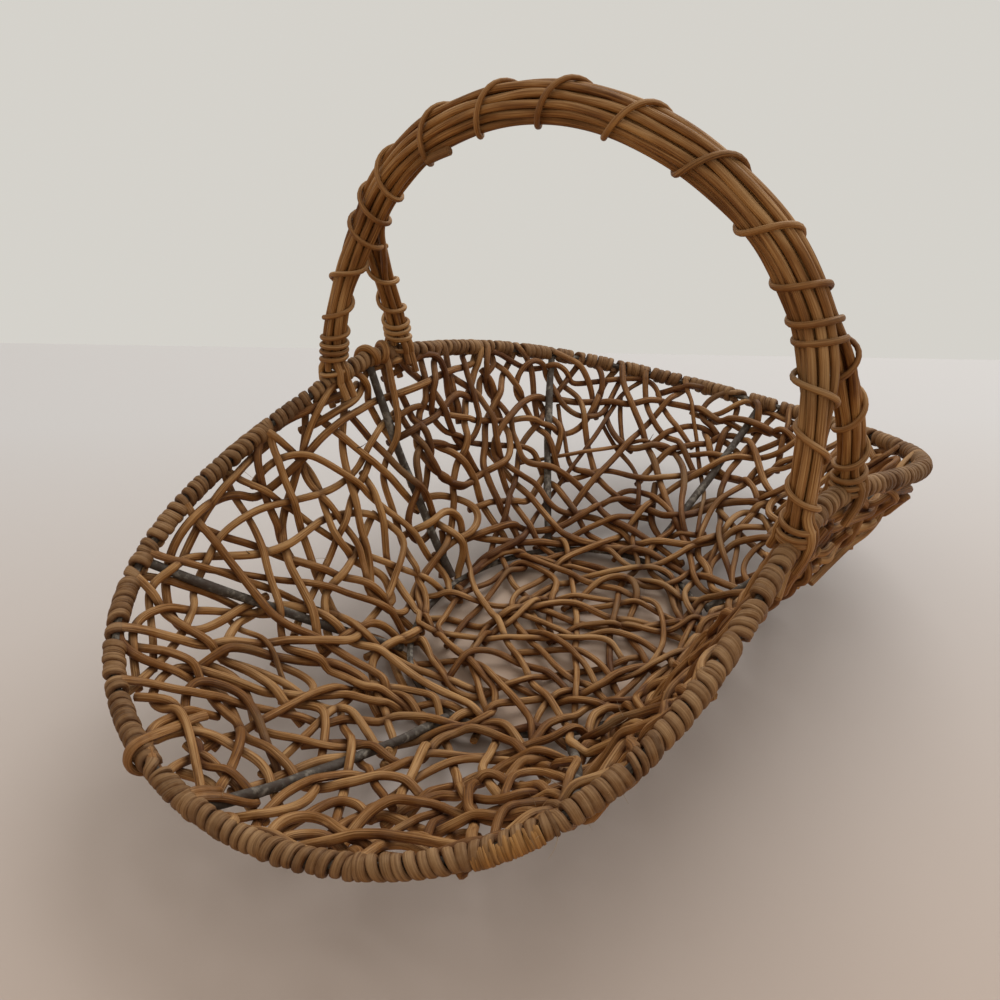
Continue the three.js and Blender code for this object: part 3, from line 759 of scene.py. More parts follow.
def possible_joins(first_new):
    """Pairs of free ends that could be one cane, with what the join costs, cheapest first."""
    ends = []
    for number, cane, end in ends_of_canes(False):
        ends.append((number, end, cane["route"][-end], heading_at(cane["route"], end)))
    joins = []
    for i, (a, a_end, a_place, a_way) in enumerate(ends):
        for b, b_end, b_place, b_way in ends[i + 1 :]:
            gap = b_place - a_place
            distance = float(np.linalg.norm(gap))
            if a == b or distance > JOIN_REACH or max(a, b) < first_new:
                continue
            if distance < 3:
                turns = turn_between(a_way, -b_way), 0.0
            else:
                turns = turn_between(a_way, gap / distance), turn_between(-b_way, gap / distance)
            if max(turns) < JOIN_TURN:
                cost = distance * (1 + 1.6 * (turns[0] + turns[1])) + 12 * (turns[0] + turns[1])
                joins.append((cost, a, a_end, b, b_end))
    return sorted(joins)


def bridge(start, start_way, finish, finish_way):
    reach = float(np.linalg.norm(finish - start))
    t = np.linspace(0, 1, max(3, int(reach / STEP) + 2))[:, None]
    leaving = start * (2 * t**3 - 3 * t**2 + 1) + start_way * reach * (t**3 - 2 * t**2 + t)
    return leaving + finish * (3 * t**2 - 2 * t**3) + -finish_way * reach * (t**3 - t**2)


def join_canes(first_new=0):
    links = {}
    group = list(range(len(canes)))

    def head(number):
        while group[number] != number:
            number = group[number]
        return number

    for _, a, a_end, b, b_end in possible_joins(first_new):
        if (a, a_end) in links or (b, b_end) in links or head(a) == head(b):
            continue
        links[a, a_end] = (b, b_end)
        links[b, b_end] = (a, a_end)
        group[head(a)] = head(b)
    joined = []
    used = set()
    for number in range(len(canes)):
        if number in used:
            continue
        here, end = number, 0
        while (here, end) in links:
            here, end = links[here, end]
            end = 1 - end
        chain = []
        while True:
            used.add(here)
            chain.append(turned_cane(canes[here]) if end else canes[here])
            if (here, 1 - end) not in links:
                break
            here, end = links[here, 1 - end]
        joined.append(chained(chain))
    canes[:] = joined


def turned_cane(cane):
    width = each(cane["width"], len(cane["route"]))[::-1]
    return new_cane(cane["route"][::-1], width, cane["kind"], cane["on_rim"][::-1])


def chained(chain):
    """One cane of canes laid end to end, with a smooth link and an even width from each to the next."""
    parts = [chain[0]["route"]]
    widths = [each(chain[0]["width"], len(parts[0]))]
    for cane in chain[1:]:
        before, after = parts[-1], cane["route"]
        link = bridge(before[-1], heading_at(before, 1), after[0], heading_at(after, 0))[1:-1]
        note_laid(np.concatenate([before[-1:], link, after[:1]]))
        width = each(cane["width"], len(after))
        parts += [link, after]
        widths += [np.full(len(link), width[0]), width]
    whole = np.concatenate([np.concatenate(parts), np.concatenate(widths)[:, None]], axis=1)
    whole = respaced(softened(whole, LINK_SOFTNESS), STEP)
    width = softened(whole[:, 2:], WIDTH_SOFTNESS)[:, 0]
    longest = max(chain, key=lambda cane: len(cane["route"]))
    on_rim = [chain[0]["on_rim"][0], chain[-1]["on_rim"][1]]
    return new_cane(whole[:, :2], width, longest["kind"], on_rim)


def grown(values, tail, end):
    return np.concatenate([values, tail] if end else [tail[::-1], values])


def tuck_ends():
    """A cane that still ends in the open runs on to just past the next cane across its way."""
    starts = np.concatenate([cane["route"][:-1] for cane in canes])
    spans = np.concatenate([np.diff(cane["route"], axis=0) for cane in canes])
    owners = np.concatenate([np.full(len(c["route"]) - 1, k) for k, c in enumerate(canes)])
    for number, cane, end in ends_of_canes(False):
        place = cane["route"][-end]
        way = heading_at(cane["route"], end)
        start, span = starts[owners != number], spans[owners != number]
        crossed = flat_cross(way, span)
        crossed = np.where(np.abs(crossed) < LEAST_CROSS, LEAST_CROSS, crossed)
        run = flat_cross(start - place, span) / crossed
        along = flat_cross(start - place, way) / crossed
        steep = np.abs(crossed) > TUCK_STEEPNESS * np.linalg.norm(span, axis=1)
        hit = (run > -TUCK_BACK) & (run < TUCK_REACH) & (along >= 0) & (along <= 1) & steep
        if hit.any():
            reach = max(0.0, float(run[hit].min())) + TUCK_PAST
            tail = held_on_sheet(place + way * np.arange(STEP, reach + 0.1, STEP)[:, None])
            width = each(cane["width"], len(cane["route"]))
            cane["route"] = grown(cane["route"], tail, end)
            cane["width"] = grown(width, np.full(len(tail), width[-end]), end)


join_canes()

# The wall that the picture hides: the shown courses turned over to the other side and moved on a little
MOVED_ON = 0.16
FULL_ENOUGH = 0.62
SHORTEST = 26.0
shown_count = len(canes)
for kind, width, flat in seen_courses:
    if kind != "wall":
        continue
    bearing, depth = bearings_and_depths(respaced(flat, STEP))
    turned = sheet_points(-bearing + MOVED_ON, depth)
    room = fullness(turned) < FULL_ENOUGH
    start = 0
    while start < len(room):
        if not room[start]:
            start += 1
            continue
        last = start
        while last < len(room) and room[last]:
            last += 1
        if (last - start) * STEP > SHORTEST:
            piece = turned[max(0, start - 3) : last + 3].copy()
            add_cane(piece, width * rng.uniform(*CANE_WIDTHS), kind)
            room = fullness(turned) < FULL_ENOUGH
        start = last


# Loose canes where the weave is still thin
WALK_STEP = 4.0
WALK_EASE = 32
WANDERS = (0.006, 0.012, 0.02)
HALF_LENGTHS = (30, 90)
SHARPEST_BEND = 0.075
EDGE_ROOM = 22
EDGE_BEND = 12
FEWEST_STEPS = 10
THIN_ENOUGH = 0.45
LOOSE_CANES = 70
LOOSE_TRIES = 30


def drift(x, y, heading, length, wander):
    points = []
    bend = rng.gauss(0, wander)
    keep = math.exp(-WALK_STEP / WALK_EASE)
    for _ in range(int(length / WALK_STEP)):
        bend = bend * keep + rng.gauss(0, wander) * math.sqrt(1 - keep * keep)
        steer = bend
        bearing = math.atan2(y, x)
        room = float(flat_reach(bearing)) - math.hypot(x, y)
        if room < EDGE_ROOM:
            inward = (bearing + math.pi - heading + math.pi) % TWO_PI - math.pi
            if abs(inward) > math.pi / 2:
                steer += math.copysign((EDGE_ROOM - room) / EDGE_ROOM / EDGE_BEND, inward)
        heading += max(-SHARPEST_BEND, min(SHARPEST_BEND, steer)) * WALK_STEP
        x += WALK_STEP * math.cos(heading)
        y += WALK_STEP * math.sin(heading)
        if math.hypot(x, y) > float(flat_reach(math.atan2(y, x))):
            break
        points.append((x, y))
    return points


def loose_cane(x, y):
    best = None
    for _ in range(LOOSE_TRIES):
        heading = rng.uniform(0, TWO_PI)
        wander = rng.choice(WANDERS)
        back = drift(x, y, heading + math.pi, rng.uniform(*HALF_LENGTHS), wander)
        ahead = drift(x, y, heading, rng.uniform(*HALF_LENGTHS), wander)
        if len(back) + len(ahead) < FEWEST_STEPS:
            continue
        route = respaced(np.array(back[::-1] + [(x, y)] + ahead), STEP)
        cost = float(np.maximum(fullness(route) - 0.5, 0).mean()) - 0.0006 * len(route)
        if best is None or cost < best[0]:
            best = (cost, route)
    return None if best is None else best[1]


for _ in range(LOOSE_CANES):
    need = np.where(ON_SHEET, 1 - laid / WANTED, -1)
    worst = int(np.argmax(need))
    if need.flat[worst] < THIN_ENOUGH:
        break
    x, y = CENTRES[worst]
    route = loose_cane(x, y)
    if route is None:
        laid.flat[worst] += 0.1
        continue
    depth = bearings_and_depths(route)[1].mean()
    width = WALL_CANE if depth > 1 else BASE_CANE
    add_cane(route, width * rng.uniform(0.9, 1.08), "wall" if depth > 1 else "base")

join_canes(shown_count)
tuck_ends()
RIM_ROOM = 7.0


def trim_by_rim():
    """A loose end stops short of the rim's turns, or it would show beyond them."""
    for _, cane, end in ends_of_canes(False):
        route = cane["route"]
        reach = np.linalg.norm(route, axis=1)
        clear = np.nonzero(flat_reach(np.arctan2(route[:, 1], route[:, 0])) - reach > RIM_ROOM)[0]
        if len(clear) >= FEWEST_STEPS:
            kept = slice(0, clear[-1] + 1) if end else slice(clear[0], None)
            cane["width"] = each(cane["width"], len(route))[kept]
            cane["route"] = route[kept]


trim_by_rim()

# Rim: every cane that reaches it goes on as close turns along it, up to the next cane's place
LEAST_EXIT_GAP = 2.6
EXIT_ROUNDS = 30
EXIT_EASE = 8.0
BARE_SHARE = 0.4
LONGEST_BARE = 3.6


def rim_exits():
    exits = []
    for number, cane, end in ends_of_canes(True):
        x, y = cane["route"][-end]
        angle = float(angle_of_bearing(math.atan2(y, x)))
        exits.append([float(np.interp(angle, TURNS, RIM_RUN)), number, end])
    return sorted(exits)


def plan_runs(exits):
    for _ in range(EXIT_ROUNDS):
        for k in range(len(exits) - 1):
            short = LEAST_EXIT_GAP - (exits[k + 1][0] - exits[k][0])
            if short > 0:
                exits[k][0] -= short / 2
                exits[k + 1][0] += short / 2
    runs = []
    for k, (start, number, end) in enumerate(exits):
        following = exits[(k + 1) % len(exits)]
        length = (following[0] - start) % RIM_LENGTH
        joined = k % 2 == 0 and k + 1 < len(exits)
        pitch = TURN_PITCH * rng.uniform(0.92, 1.06)
        bare = 0.0
        if joined:
            turns = max(0, round(length / pitch - 0.5)) + 0.5
        else:
            if length > 2 * pitch and rng.random() < BARE_SHARE:
                bare = rng.uniform(0.8, LONGEST_BARE)
            turns = max(0, round((length - bare) / pitch))
        way = rng.choice([-1, 1])
        run = {"start": start, "length": length, "turns": turns, "way": way, "joined": joined, "bare": bare}
        run["lean"] = rng.gauss(0, 0.8)
        if joined:
            run["ends"] = ((number, end), (following[1], following[2]))
            canes[number]["side"][end] = way
            canes[following[1]]["side"][following[2]] = -way
        runs.append(run)
    if len(exits) % 2 == 1:
        canes[exits[-1][1]]["side"][exits[-1][2]] = 1
    for start, number, end in exits:
        bearing = float(bearing_of_angle(rim_angle(start)))
        route = canes[number]["route"]
        moved = sheet_place(bearing, flat_reach(bearing)) - route[-end]
        places = np.arange(len(route)) * STEP
        if end:
            places = places[::-1]
        canes[number]["route"] = route + moved * np.exp(-places / EXIT_EASE)[:, None]
    return runs


runs = plan_runs(rim_exits())


# Over and under: each cane keeps to a slowly changing layer, and two that cross part by their thickness
LAYER_LIMIT = 7.5
LAYER_PERIODS = (60, 120)
SHORT_PERIOD = 38
SHORT_WAVE = 0.6
TUCKED_UNDER = 2.6
TUCKED_LENGTH = 10
CLIMB_LENGTH = 9
SAME_CANE_SPAN = 8
CROSSING_SPAN = 9
RING_LEAN = 1.2
BAR_STEPS = 60
SETTLE_ROUNDS = 220
SETTLE_EVENING = 0.6
SETTLE_SAG = 0.997
SETTLE_PUSH = 1.15


def points_of_canes():
    keys = ("points", "normals", "width", "layer", "owner", "place", "held", "height")
    parts = {key: [] for key in keys}
    for number, cane in enumerate(canes):
        on, normal = lay(cane["route"])
        count = len(on)
        along = np.arange(count) * STEP
        period = rng.uniform(*LAYER_PERIODS)
        phase = rng.uniform(0, TWO_PI)
        short = SHORT_WAVE * np.sin(along * TWO_PI / SHORT_PERIOD + 2 * phase)
        waves = np.sin(along * TWO_PI / period + phase) + short
        height = np.zeros(count)
        held = np.zeros(count, bool)
        for end, distance in ((0, along), (1, along[::-1])):
            side = cane["side"][end]
            if not side:
                if not cane["on_rim"][end]:
                    waves = waves + TUCKED_UNDER * np.exp(-((distance / TUCKED_LENGTH) ** 2))
                continue
            near = np.exp(-distance / CLIMB_LENGTH)
            waves = waves * (1 - near) + 2 * side * near
            height[-end] = side * WRAP_RADIUS
            held[-end] = True
        width = each(cane["width"], count)
        values = (on, normal, width, waves, np.full(count, number), np.arange(count), held, height)
        for key, value in zip(keys, values):
            parts[key].append(value)
    return {key: np.concatenate(value) for key, value in parts.items()}


def crossings(c):
    """Pairs of points of different stretches that lie closer than their thickness."""
    tree = tree_of(c["points"])
    reach = float(c["width"].max())
    first, second = [], []
    for index, point in enumerate(c["points"]):
        for _, other, _ in tree.find_range(point, reach):
            apart = abs(c["place"][other] - c["place"][index])
            same = c["owner"][other] == c["owner"][index] and apart < SAME_CANE_SPAN
            if other > index and not same:
                first.append(index)
                second.append(other)
    first = np.array(first)
    second = np.array(second)
    offset = c["points"][second] - c["points"][first]
    normal = unit(c["normals"][first] + c["normals"][second])
    distance = np.linalg.norm(offset - dot(offset, normal) * normal, axis=1)
    touch = (c["width"][first] + c["width"][second]) / 2
    keep = distance < touch
    first, second = first[keep], second[keep]
    need = np.sqrt(touch[keep] ** 2 - distance[keep] ** 2)
    names = {}
    crossing = np.zeros(len(first), int)
    for k, (i, j) in enumerate(zip(first, second)):
        spans = (c["place"][i] // CROSSING_SPAN, c["place"][j] // CROSSING_SPAN)
        crossing[k] = names.setdefault((c["owner"][i], c["owner"][j], *spans), len(names))
    lead = np.zeros(len(names))
    np.add.at(lead, crossing, c["layer"][first] - c["layer"][second])
    over = np.where(lead >= 0, 1.0, -1.0)[crossing]
    return first, second, need, over


def wires_in_the_way(c):
    """How far each point has to keep from a rib or the base ring under it, and on which side."""
    bars = [(ring_point(np.linspace(0, TWO_PI, 4 * BAR_STEPS)), WIRE_RADIUS)]
    for k in range(RIB_COUNT):
        angle = np.full(BAR_STEPS, k * TWO_PI / RIB_COUNT)
        bars.append((wall_point(angle, np.linspace(0, 1, BAR_STEPS)), RIB_RADIUS))
    tree = tree_of(np.concatenate([points for points, _ in bars]))
    radius = np.concatenate([np.full(len(points), thickness) for points, thickness in bars])
    ring_count = len(bars[0][0])
    count = len(c["points"])
    need = np.zeros(count)
    side = np.zeros(count)
    on_ring = np.zeros(count, bool)
    for index, point in enumerate(c["points"]):
        _, other, away = tree.find(point)
        reach = radius[other] + c["width"][index] / 2
        if away < reach:
            need[index] = math.sqrt(reach * reach - away * away)
            on_ring[index] = other < ring_count
    index = 0
    while index < count:
        last = index
        while last < count and c["owner"][last] == c["owner"][index] and need[last] > 0:
            last += 1
        if last > index:
            lean = c["layer"][index:last].mean() - (RING_LEAN if on_ring[index:last].any() else 0)
            side[index:last] = 1.0 if lean > 0 else -1.0
        index = max(last, index + 1)
    return need, side


def settle():
    c = points_of_canes()
    first, second, need, over = crossings(c)
    wire_need, wire_side = wires_in_the_way(c)
    count = len(c["points"])
    held = c["held"]
    ends = np.zeros(count, bool)
    ends[0] = ends[-1] = True
    change = np.nonzero(c["owner"][1:] != c["owner"][:-1])[0]
    ends[change] = True
    ends[change + 1] = True
    inner = ~ends & ~held
    down = np.clip(-c["normals"][:, 2], 0, 1)
    room = (c["points"][:, 2] - c["width"] / 2) / np.maximum(down, 1e-3)
    starts = c["height"].copy()
    height = starts.copy()
    for _ in range(SETTLE_ROUNDS):
        smooth = height.copy()
        smooth[1:-1] = (height[:-2] + height[2:]) / 2
        evened = height * (1 - SETTLE_EVENING) + smooth * SETTLE_EVENING
        height = np.where(inner, evened, height) * SETTLE_SAG
        short = np.maximum(need - over * (height[first] - height[second]), 0) * over * 0.5
        push = np.zeros(count)
        shares = np.zeros(count)
        np.add.at(push, first, short)
        np.add.at(push, second, -short)
        np.add.at(shares, first, short != 0)
        np.add.at(shares, second, short != 0)
        height = height + SETTLE_PUSH * push / np.maximum(shares, 1)
        pressed = wire_side * np.maximum(wire_need, wire_side * height)
        height = np.where(wire_side != 0, pressed, height)
        height = np.minimum(np.clip(height, -LAYER_LIMIT, LAYER_LIMIT), room)
        height = np.where(held, starts, height)
    settled = c["points"] + c["normals"] * height[:, None]
    for number, cane in enumerate(canes):
        mine = c["owner"] == number
        cane["points"] = softened(settled[mine], 2)
        cane["normals"] = c["normals"][mine]


settle()


# Rim turns: a close helix of flattened cane for each run
TURN_STEPS = 24
TURN_UNEVENNESS = 0.45
TURN_WAVE = 0.37
FEWEST_TURNS = 0.5
TUCKED_START = -math.pi / 2
LOOSE_START = 0.45
TURN_LIFTS = (0.1, 0.4)
MEET_SPAN = 4
MEET_ROUNDS = 6


def rim_frame(distance):
    angle = rim_angle(distance)
    tangent = unit(rim_point(angle + SMALL_STEP) - rim_point(angle - SMALL_STEP))
    up = rim_point(angle) - ring_point(angle)
    up = unit(up - dot(up, tangent) * tangent)
    return rim_point(angle), up, np.cross(tangent, up)


def turn_points(run):
    count = max(4, int(run["turns"] * TURN_STEPS) + 1)
    share = np.linspace(0, 1, count)
    turned = run["way"] * share * run["turns"] * TWO_PI
    slack = 0.0
    start, length = run["start"], run["length"]
    if run["joined"]:
        begin = 0.0 if run["way"] > 0 else math.pi
    else:
        begin = TUCKED_START
        start += run["bare"] * 0.5
        length -= run["bare"]
        slack = length / max(run["turns"], 1) * LOOSE_START
    distance = start + slack + share * (length - 2 * slack)
    ease = np.minimum(1.0, np.minimum(share, 1 - share) * run["turns"] * 2)
    distance = distance + ease * TURN_UNEVENNESS * np.sin(turned * TURN_WAVE + run["start"])
    angle = begin + turned
    point, up, outward = rim_frame(distance + ease * run["lean"] * np.cos(angle))
    around = leaning(outward, up, angle)
    lift = WRAP_RADIUS + ease * run["lift"] * np.sin(angle * 0.5 + run["start"])
    return point + around * lift[:, None], around


def join_to_turns(run):
    """Makes one line of the canes at the run's ends and its turns, soft where they meet."""
    points = run["points"]
    for number, end in run["ends"]:
        cane = canes[number]["points"]
        line = np.concatenate([(cane if end else cane[::-1])[:-1], points])
        meet = len(cane) - 1
        near = slice(max(0, meet - MEET_SPAN - 1), min(len(line), meet + MEET_SPAN + 2))
        line[near] = softened(line[near], MEET_ROUNDS)
        wall, points = line[: meet + 1], line[meet:][::-1]
        canes[number]["points"] = wall if end else wall[::-1]
    run["points"] = points


for run in runs:
    if run["turns"] < FEWEST_TURNS:
        continue
    run["lift"] = rng.uniform(*TURN_LIFTS)
    run["tone"] = rng.gauss(0.5, 0.12)
    run["shift"] = rng.uniform(0, 900)
    run["points"], run["around"] = turn_points(run)
    if run["joined"]:
        join_to_turns(run)
        for number, end in run["ends"]:
            canes[number].setdefault("tones", {})[end] = run["tone"]


# How close the next cane lies to each side of a cane, for painted shade: a dark, rich colour in the close
# corners between canes
CANE_SIDES = 8
CROWD_REACH = 9.0
CROWD_LOOK = 1.0
CROWD_FULL = 2.0
CROWD_CLEAR = 5.2
LAID_LINES = [cane["points"] for cane in canes] + [run["points"] for run in runs if "points" in run]


def note_crowding():
    tree = tree_of(np.concatenate(LAID_LINES))
    owner = np.concatenate([np.full(len(points), k) for k, points in enumerate(LAID_LINES)])
    turn = TWO_PI * np.arange(CANE_SIDES) / CANE_SIDES
    for number, cane in enumerate(canes):
        points = cane["points"]
        tangent = unit(np.gradient(points, axis=0))
        up = unit(cane["normals"] - dot(cane["normals"], tangent) * tangent)
        side = np.cross(tangent, up)
        look = each(cane["width"], len(points)) / 2 + CROWD_LOOK
        crowd = np.zeros((len(points), CANE_SIDES))
        for k, point in enumerate(points):
            near = [spot for spot, index, _ in tree.find_range(point, CROWD_REACH) if owner[index] != number]
            if near:
                gap = np.array(near)[None] - (point + leaning(side[k], up[k], turn) * look[k])[:, None]
                crowd[k] = 1 - fade(np.linalg.norm(gap, axis=2).min(axis=1), CROWD_FULL, CROWD_CLEAR)
        cane["crowd"] = crowd


note_crowding()


# A cane as a swept mesh: rings along its line, wider than thick where it is flattened
CUT_BEVEL = 0.35
CUT_SHARE = 0.72
ROUND_SIDES = 10
RIB_SIDES = 12
FRAYED_SIDES = 6
FIBRE_SIDES = 5
SHARPEST_EDGE = math.radians(50)


def swept_line(line, sides):
    points = line["points"]
    count = len(points)
    tangent = unit(np.gradient(points, axis=0))
    up = unit(line["up"] - dot(line["up"], tangent) * tangent)
    across = each(line["across"], count) / 2
    thick = each(line["thick"], count) / 2
    # A small bevel round each cut end
    rows = np.concatenate([[0], np.arange(count), [count - 1]])
    rings = count + 2
    scale = np.ones(rings)
    scale[[0, -1]] = CUT_SHARE
    slide = np.zeros(rings)
    slide[[0, -1]] = -CUT_BEVEL, CUT_BEVEL
    centre = points[rows] + tangent[rows] * slide[:, None]
    side = np.cross(tangent, up)[rows]
    around = TWO_PI * np.arange(sides) / sides
    power = line.get("squareness", 1.0)
    c = rounded(np.cos(around), power)[None, :, None]
    s = rounded(np.sin(around), power)[None, :, None]
    ring = centre[:, None] + side[:, None] * (across[rows] * scale)[:, None, None] * c
    ring = ring + up[rows][:, None] * (thick[rows] * scale)[:, None, None] * s
    vertices = np.concatenate([ring.reshape(-1, 3), centre[:1], centre[-1:]])
    k, j = np.meshgrid(np.arange(rings - 1), np.arange(sides), indexing="ij")
    k, j = k.ravel(), j.ravel()
    n = (j + 1) % sides
    quads = np.stack([k * sides + j, k * sides + n, (k + 1) * sides + n, (k + 1) * sides + j], -1)
    girth = float(across.mean() + thick.mean()) * math.pi
    run = travelled(centre) + line["shift"]
    u0, u1 = girth * j / sides, girth * (j + 1) / sides
    quad_uv = np.stack([u0, run[k], u1, run[k], u1, run[k + 1], u0, run[k + 1]], -1).reshape(-1, 2)
    j = np.arange(sides)
    n = (j + 1) % sides
    low = np.stack([n, j, np.full(sides, rings * sides)], -1)
    last = (rings - 1) * sides
    high = np.stack([last + j, last + n, np.full(sides, rings * sides + 1)], -1)
    caps = np.concatenate([low, high])
    cap_uv = np.stack([girth * (caps % sides) / sides, np.full(caps.shape, run[0])], -1).reshape(-1, 2)
    crowd = np.broadcast_to(line.get("crowd", 0.0), (count, sides))[rows]
    # Painted shade: darker where another cane lies close, and at the sides of each rim turn where it meets
    # the next
    recess_shade = 1 - (1 - crowd) * (1 - line.get("edge", 0.0) * np.abs(c[:, :, 0]) ** 3)
    looks = [np.repeat(each(line[look], count)[rows, None], sides, axis=1) for look in ("tone", "dust")]
    looks = [np.concatenate([look.ravel(), look[0, :1], look[-1, :1]]) for look in (*looks, recess_shade)]
    return vertices, quads, quad_uv, caps, cap_uv, looks


def swept(name, lines, sides):
    vertices, corners, sizes, uvs = [], [], [], []
    looks = {"tone": [], "dust": [], "recess_shade": []}
    total = 0
    for line in lines:
        points, quads, quad_uv, caps, cap_uv, values = swept_line(line, sides)
        vertices.append(points)
        corners += [(quads + total).ravel(), (caps + total).ravel()]
        sizes += [np.full(len(quads), 4), np.full(len(caps), 3)]
        uvs += [quad_uv, cap_uv]
        for kept, value in zip(looks.values(), values):
            kept.append(value)
        total += len(points)
    vertices = np.concatenate(vertices) * MM
    corners = np.concatenate(corners)
    sizes = np.concatenate(sizes)
    mesh = bpy.data.meshes.new(name)
    mesh.vertices.add(len(vertices))
    mesh.vertices.foreach_set("co", vertices.ravel())
    mesh.loops.add(len(corners))
    mesh.loops.foreach_set("vertex_index", corners)
    mesh.polygons.add(len(sizes))
    mesh.polygons.foreach_set("loop_start", np.concatenate([[0], np.cumsum(sizes)[:-1]]))
    mesh.polygons.foreach_set("loop_total", sizes)
    mesh.update(calc_edges=True)
    layer = mesh.uv_layers.new(name="cane")
    layer.data.foreach_set("uv", (np.concatenate(uvs) * MM).ravel())
    for label, value in looks.items():
        attribute = mesh.attributes.new(label, "FLOAT", "POINT")
        attribute.data.foreach_set("value", np.concatenate(value).astype(np.float32))
    piece = bpy.data.objects.new(name, mesh)
    bpy.context.scene.collection.objects.link(piece)
    bpy.ops.object.select_all(action="DESELECT")
    piece.select_set(True)
    bpy.context.view_layer.objects.active = piece
    bpy.ops.object.shade_smooth_by_angle(angle=SHARPEST_EDGE)
    return piece


def wavering(count, scale, step=STEP):
    """A smooth uneven value along a cane, about zero."""
    k = np.arange(count) * step
    value = np.zeros(count)
    for _ in range(4):
        value += rng.gauss(0, 1) * np.sin(k * rng.uniform(0.03, 0.16) + rng.uniform(0, TWO_PI))
    return value * scale / 2


CANE_DUST = 0.1
RIM_DUST = 0.2
DUST_EASE = 14
TONE_EASE = 25
FLATTENED_LENGTH = 10
FLATTENED_WIDTH = 4.5
TURN_SHARE = (0.86, 0.97)
WIDEST_TURN = 5.4
TURN_DUST = 0.25
# How much painted shade the sides of each rim turn get, where the turns meet
TURN_EDGE_SHADE = 0.85
TURN_SQUARENESS = 0.78


def cane_line(cane):
    points = cane["points"]
    count = len(points)
    width = cane["width"] * np.ones(count)
    thick = width * rng.uniform(0.9, 1.0)
    tone = np.full(count, rng.gauss(0.5, 0.15))
    dust = np.full(count, CANE_DUST)
    crowd = cane["crowd"]
    along = travelled(points)
    for end, distance in ((0, along), (1, along[-1] - along)):
        if not cane["side"][end]:
            continue
        near = np.exp(-((distance / FLATTENED_LENGTH) ** 2))
        width = mix(width, np.maximum(width, FLATTENED_WIDTH), near)
        thick = mix(thick, WRAP_THICKNESS * 1.05, near)
        if end in cane.get("tones", {}):
            tone = mix(tone, cane["tones"][end], np.exp(-distance / TONE_EASE))
        dust = np.maximum(dust, CANE_DUST + RIM_DUST * np.exp(-distance / DUST_EASE))
        crowd = crowd * (1 - near)[:, None]
    return {
        "points": points,
        "up": cane["normals"],
        "across": width * (1 + wavering(count, 0.05)),
        "thick": thick * (1 + wavering(count, 0.05)),
        "shift": rng.uniform(0, 900),
        "tone": np.clip(tone + wavering(count, 0.1), 0, 1),
        "dust": dust,
        "crowd": crowd,
    }


def run_line(run):
    count = len(run["points"])
    band = (run["length"] - run["bare"]) / max(run["turns"], FEWEST_TURNS)
    width = min(band * rng.uniform(*TURN_SHARE), WIDEST_TURN)
    return {
        "points": run["points"],
        "up": run["around"],
        "across": width * (1 + wavering(count, 0.03, 1.2)),
        "thick": WRAP_THICKNESS,
        "shift": run["shift"],
        "tone": np.clip(run["tone"] + wavering(count, 0.1, 1.2), 0, 1),
        "dust": TURN_DUST,
        "edge": TURN_EDGE_SHADE,
        "squareness": TURN_SQUARENESS,
    }


def make_piece(name, lines, sides, material, slot, *nodes):
    piece = swept(name, lines, sides)
    piece.data.materials.append(material)
    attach(piece, "root")
    if nodes:
        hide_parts(*nodes)


# Finishes
class Finish:
    """A material or a world whose nodes are added and joined one by one."""

    def __init__(self, owner, shader="Principled BSDF"):
        owner.use_nodes = True
        self.owner = owner
        self.tree = owner.node_tree
        self.shader = self.tree.nodes[shader]

    def add(self, kind, **values):
        node = self.tree.nodes.new(kind)
        for key, value in values.items():
            if hasattr(node, key):
                setattr(node, key, value)
            else:
                node.inputs[key.replace("_", " ")].default_value = value
        return node

    def join(self, source, target):
        self.tree.links.new(source, target)

    def fill(self, node, *values):
        """Gives each of a node's inputs a number, a colour or another node's output, in turn."""
        for value, socket in zip(values, node.inputs):
            if isinstance(value, bpy.types.NodeSocket):
                self.join(value, socket)
            else:
                socket.default_value = (*value, 1) if isinstance(value, tuple) else value
        return node.outputs[0]

    def place(self):
        return self.add("ShaderNodeTexCoord").outputs["Object"]

    def attribute(self, name):
        return self.add("ShaderNodeAttribute", attribute_name=name).outputs["Fac"]

    def noise(self, vector, scale, detail=3.0):
        node = self.add("ShaderNodeTexNoise", Scale=scale, Detail=detail)
        self.join(vector, node.inputs["Vector"])
        return node.outputs["Fac"]

    def mapped(self, vector, scale=(1, 1, 1), heading=0.0):
        """A place stretched, and turned back by a heading."""
        node = self.add("ShaderNodeMapping", Scale=scale, Rotation=(0, 0, -heading))
        self.join(vector, node.inputs["Vector"])
        return node.outputs["Vector"]

    def apart(self, vector):
        node = self.add("ShaderNodeSeparateXYZ")
        self.join(vector, node.inputs["Vector"])
        return node.outputs

    def worked(self, operation, *values, clamp=False):
        return self.fill(self.add("ShaderNodeMath", operation=operation, use_clamp=clamp), *values)

    def weighed(self, value, weight, shift=0.0, clamp=False):
        return self.worked("MULTIPLY_ADD", value, weight, shift, clamp=clamp)

    def ramp(self, value, *stops):
        node = self.add("ShaderNodeValToRGB")
        elements = node.color_ramp.elements
        while len(elements) < len(stops):
            elements.new(0.5)
        for element, (position, colour) in zip(elements, stops):
            element.position = position
            element.color = (*colour, 1)
        self.join(value, node.inputs["Fac"])
        return node.outputs["Color"]

    def blend(self, share, a, b, kind="MIX"):
        return self.fill(self.add("ShaderNodeMixRGB", blend_type=kind), share, a, b)

    def bump(self, height, strength, distance):
        node = self.add("ShaderNodeBump", Strength=strength, Distance=distance)
        self.join(height, node.inputs["Height"])
        self.join(node.outputs["Normal"], self.shader.inputs["Normal"])
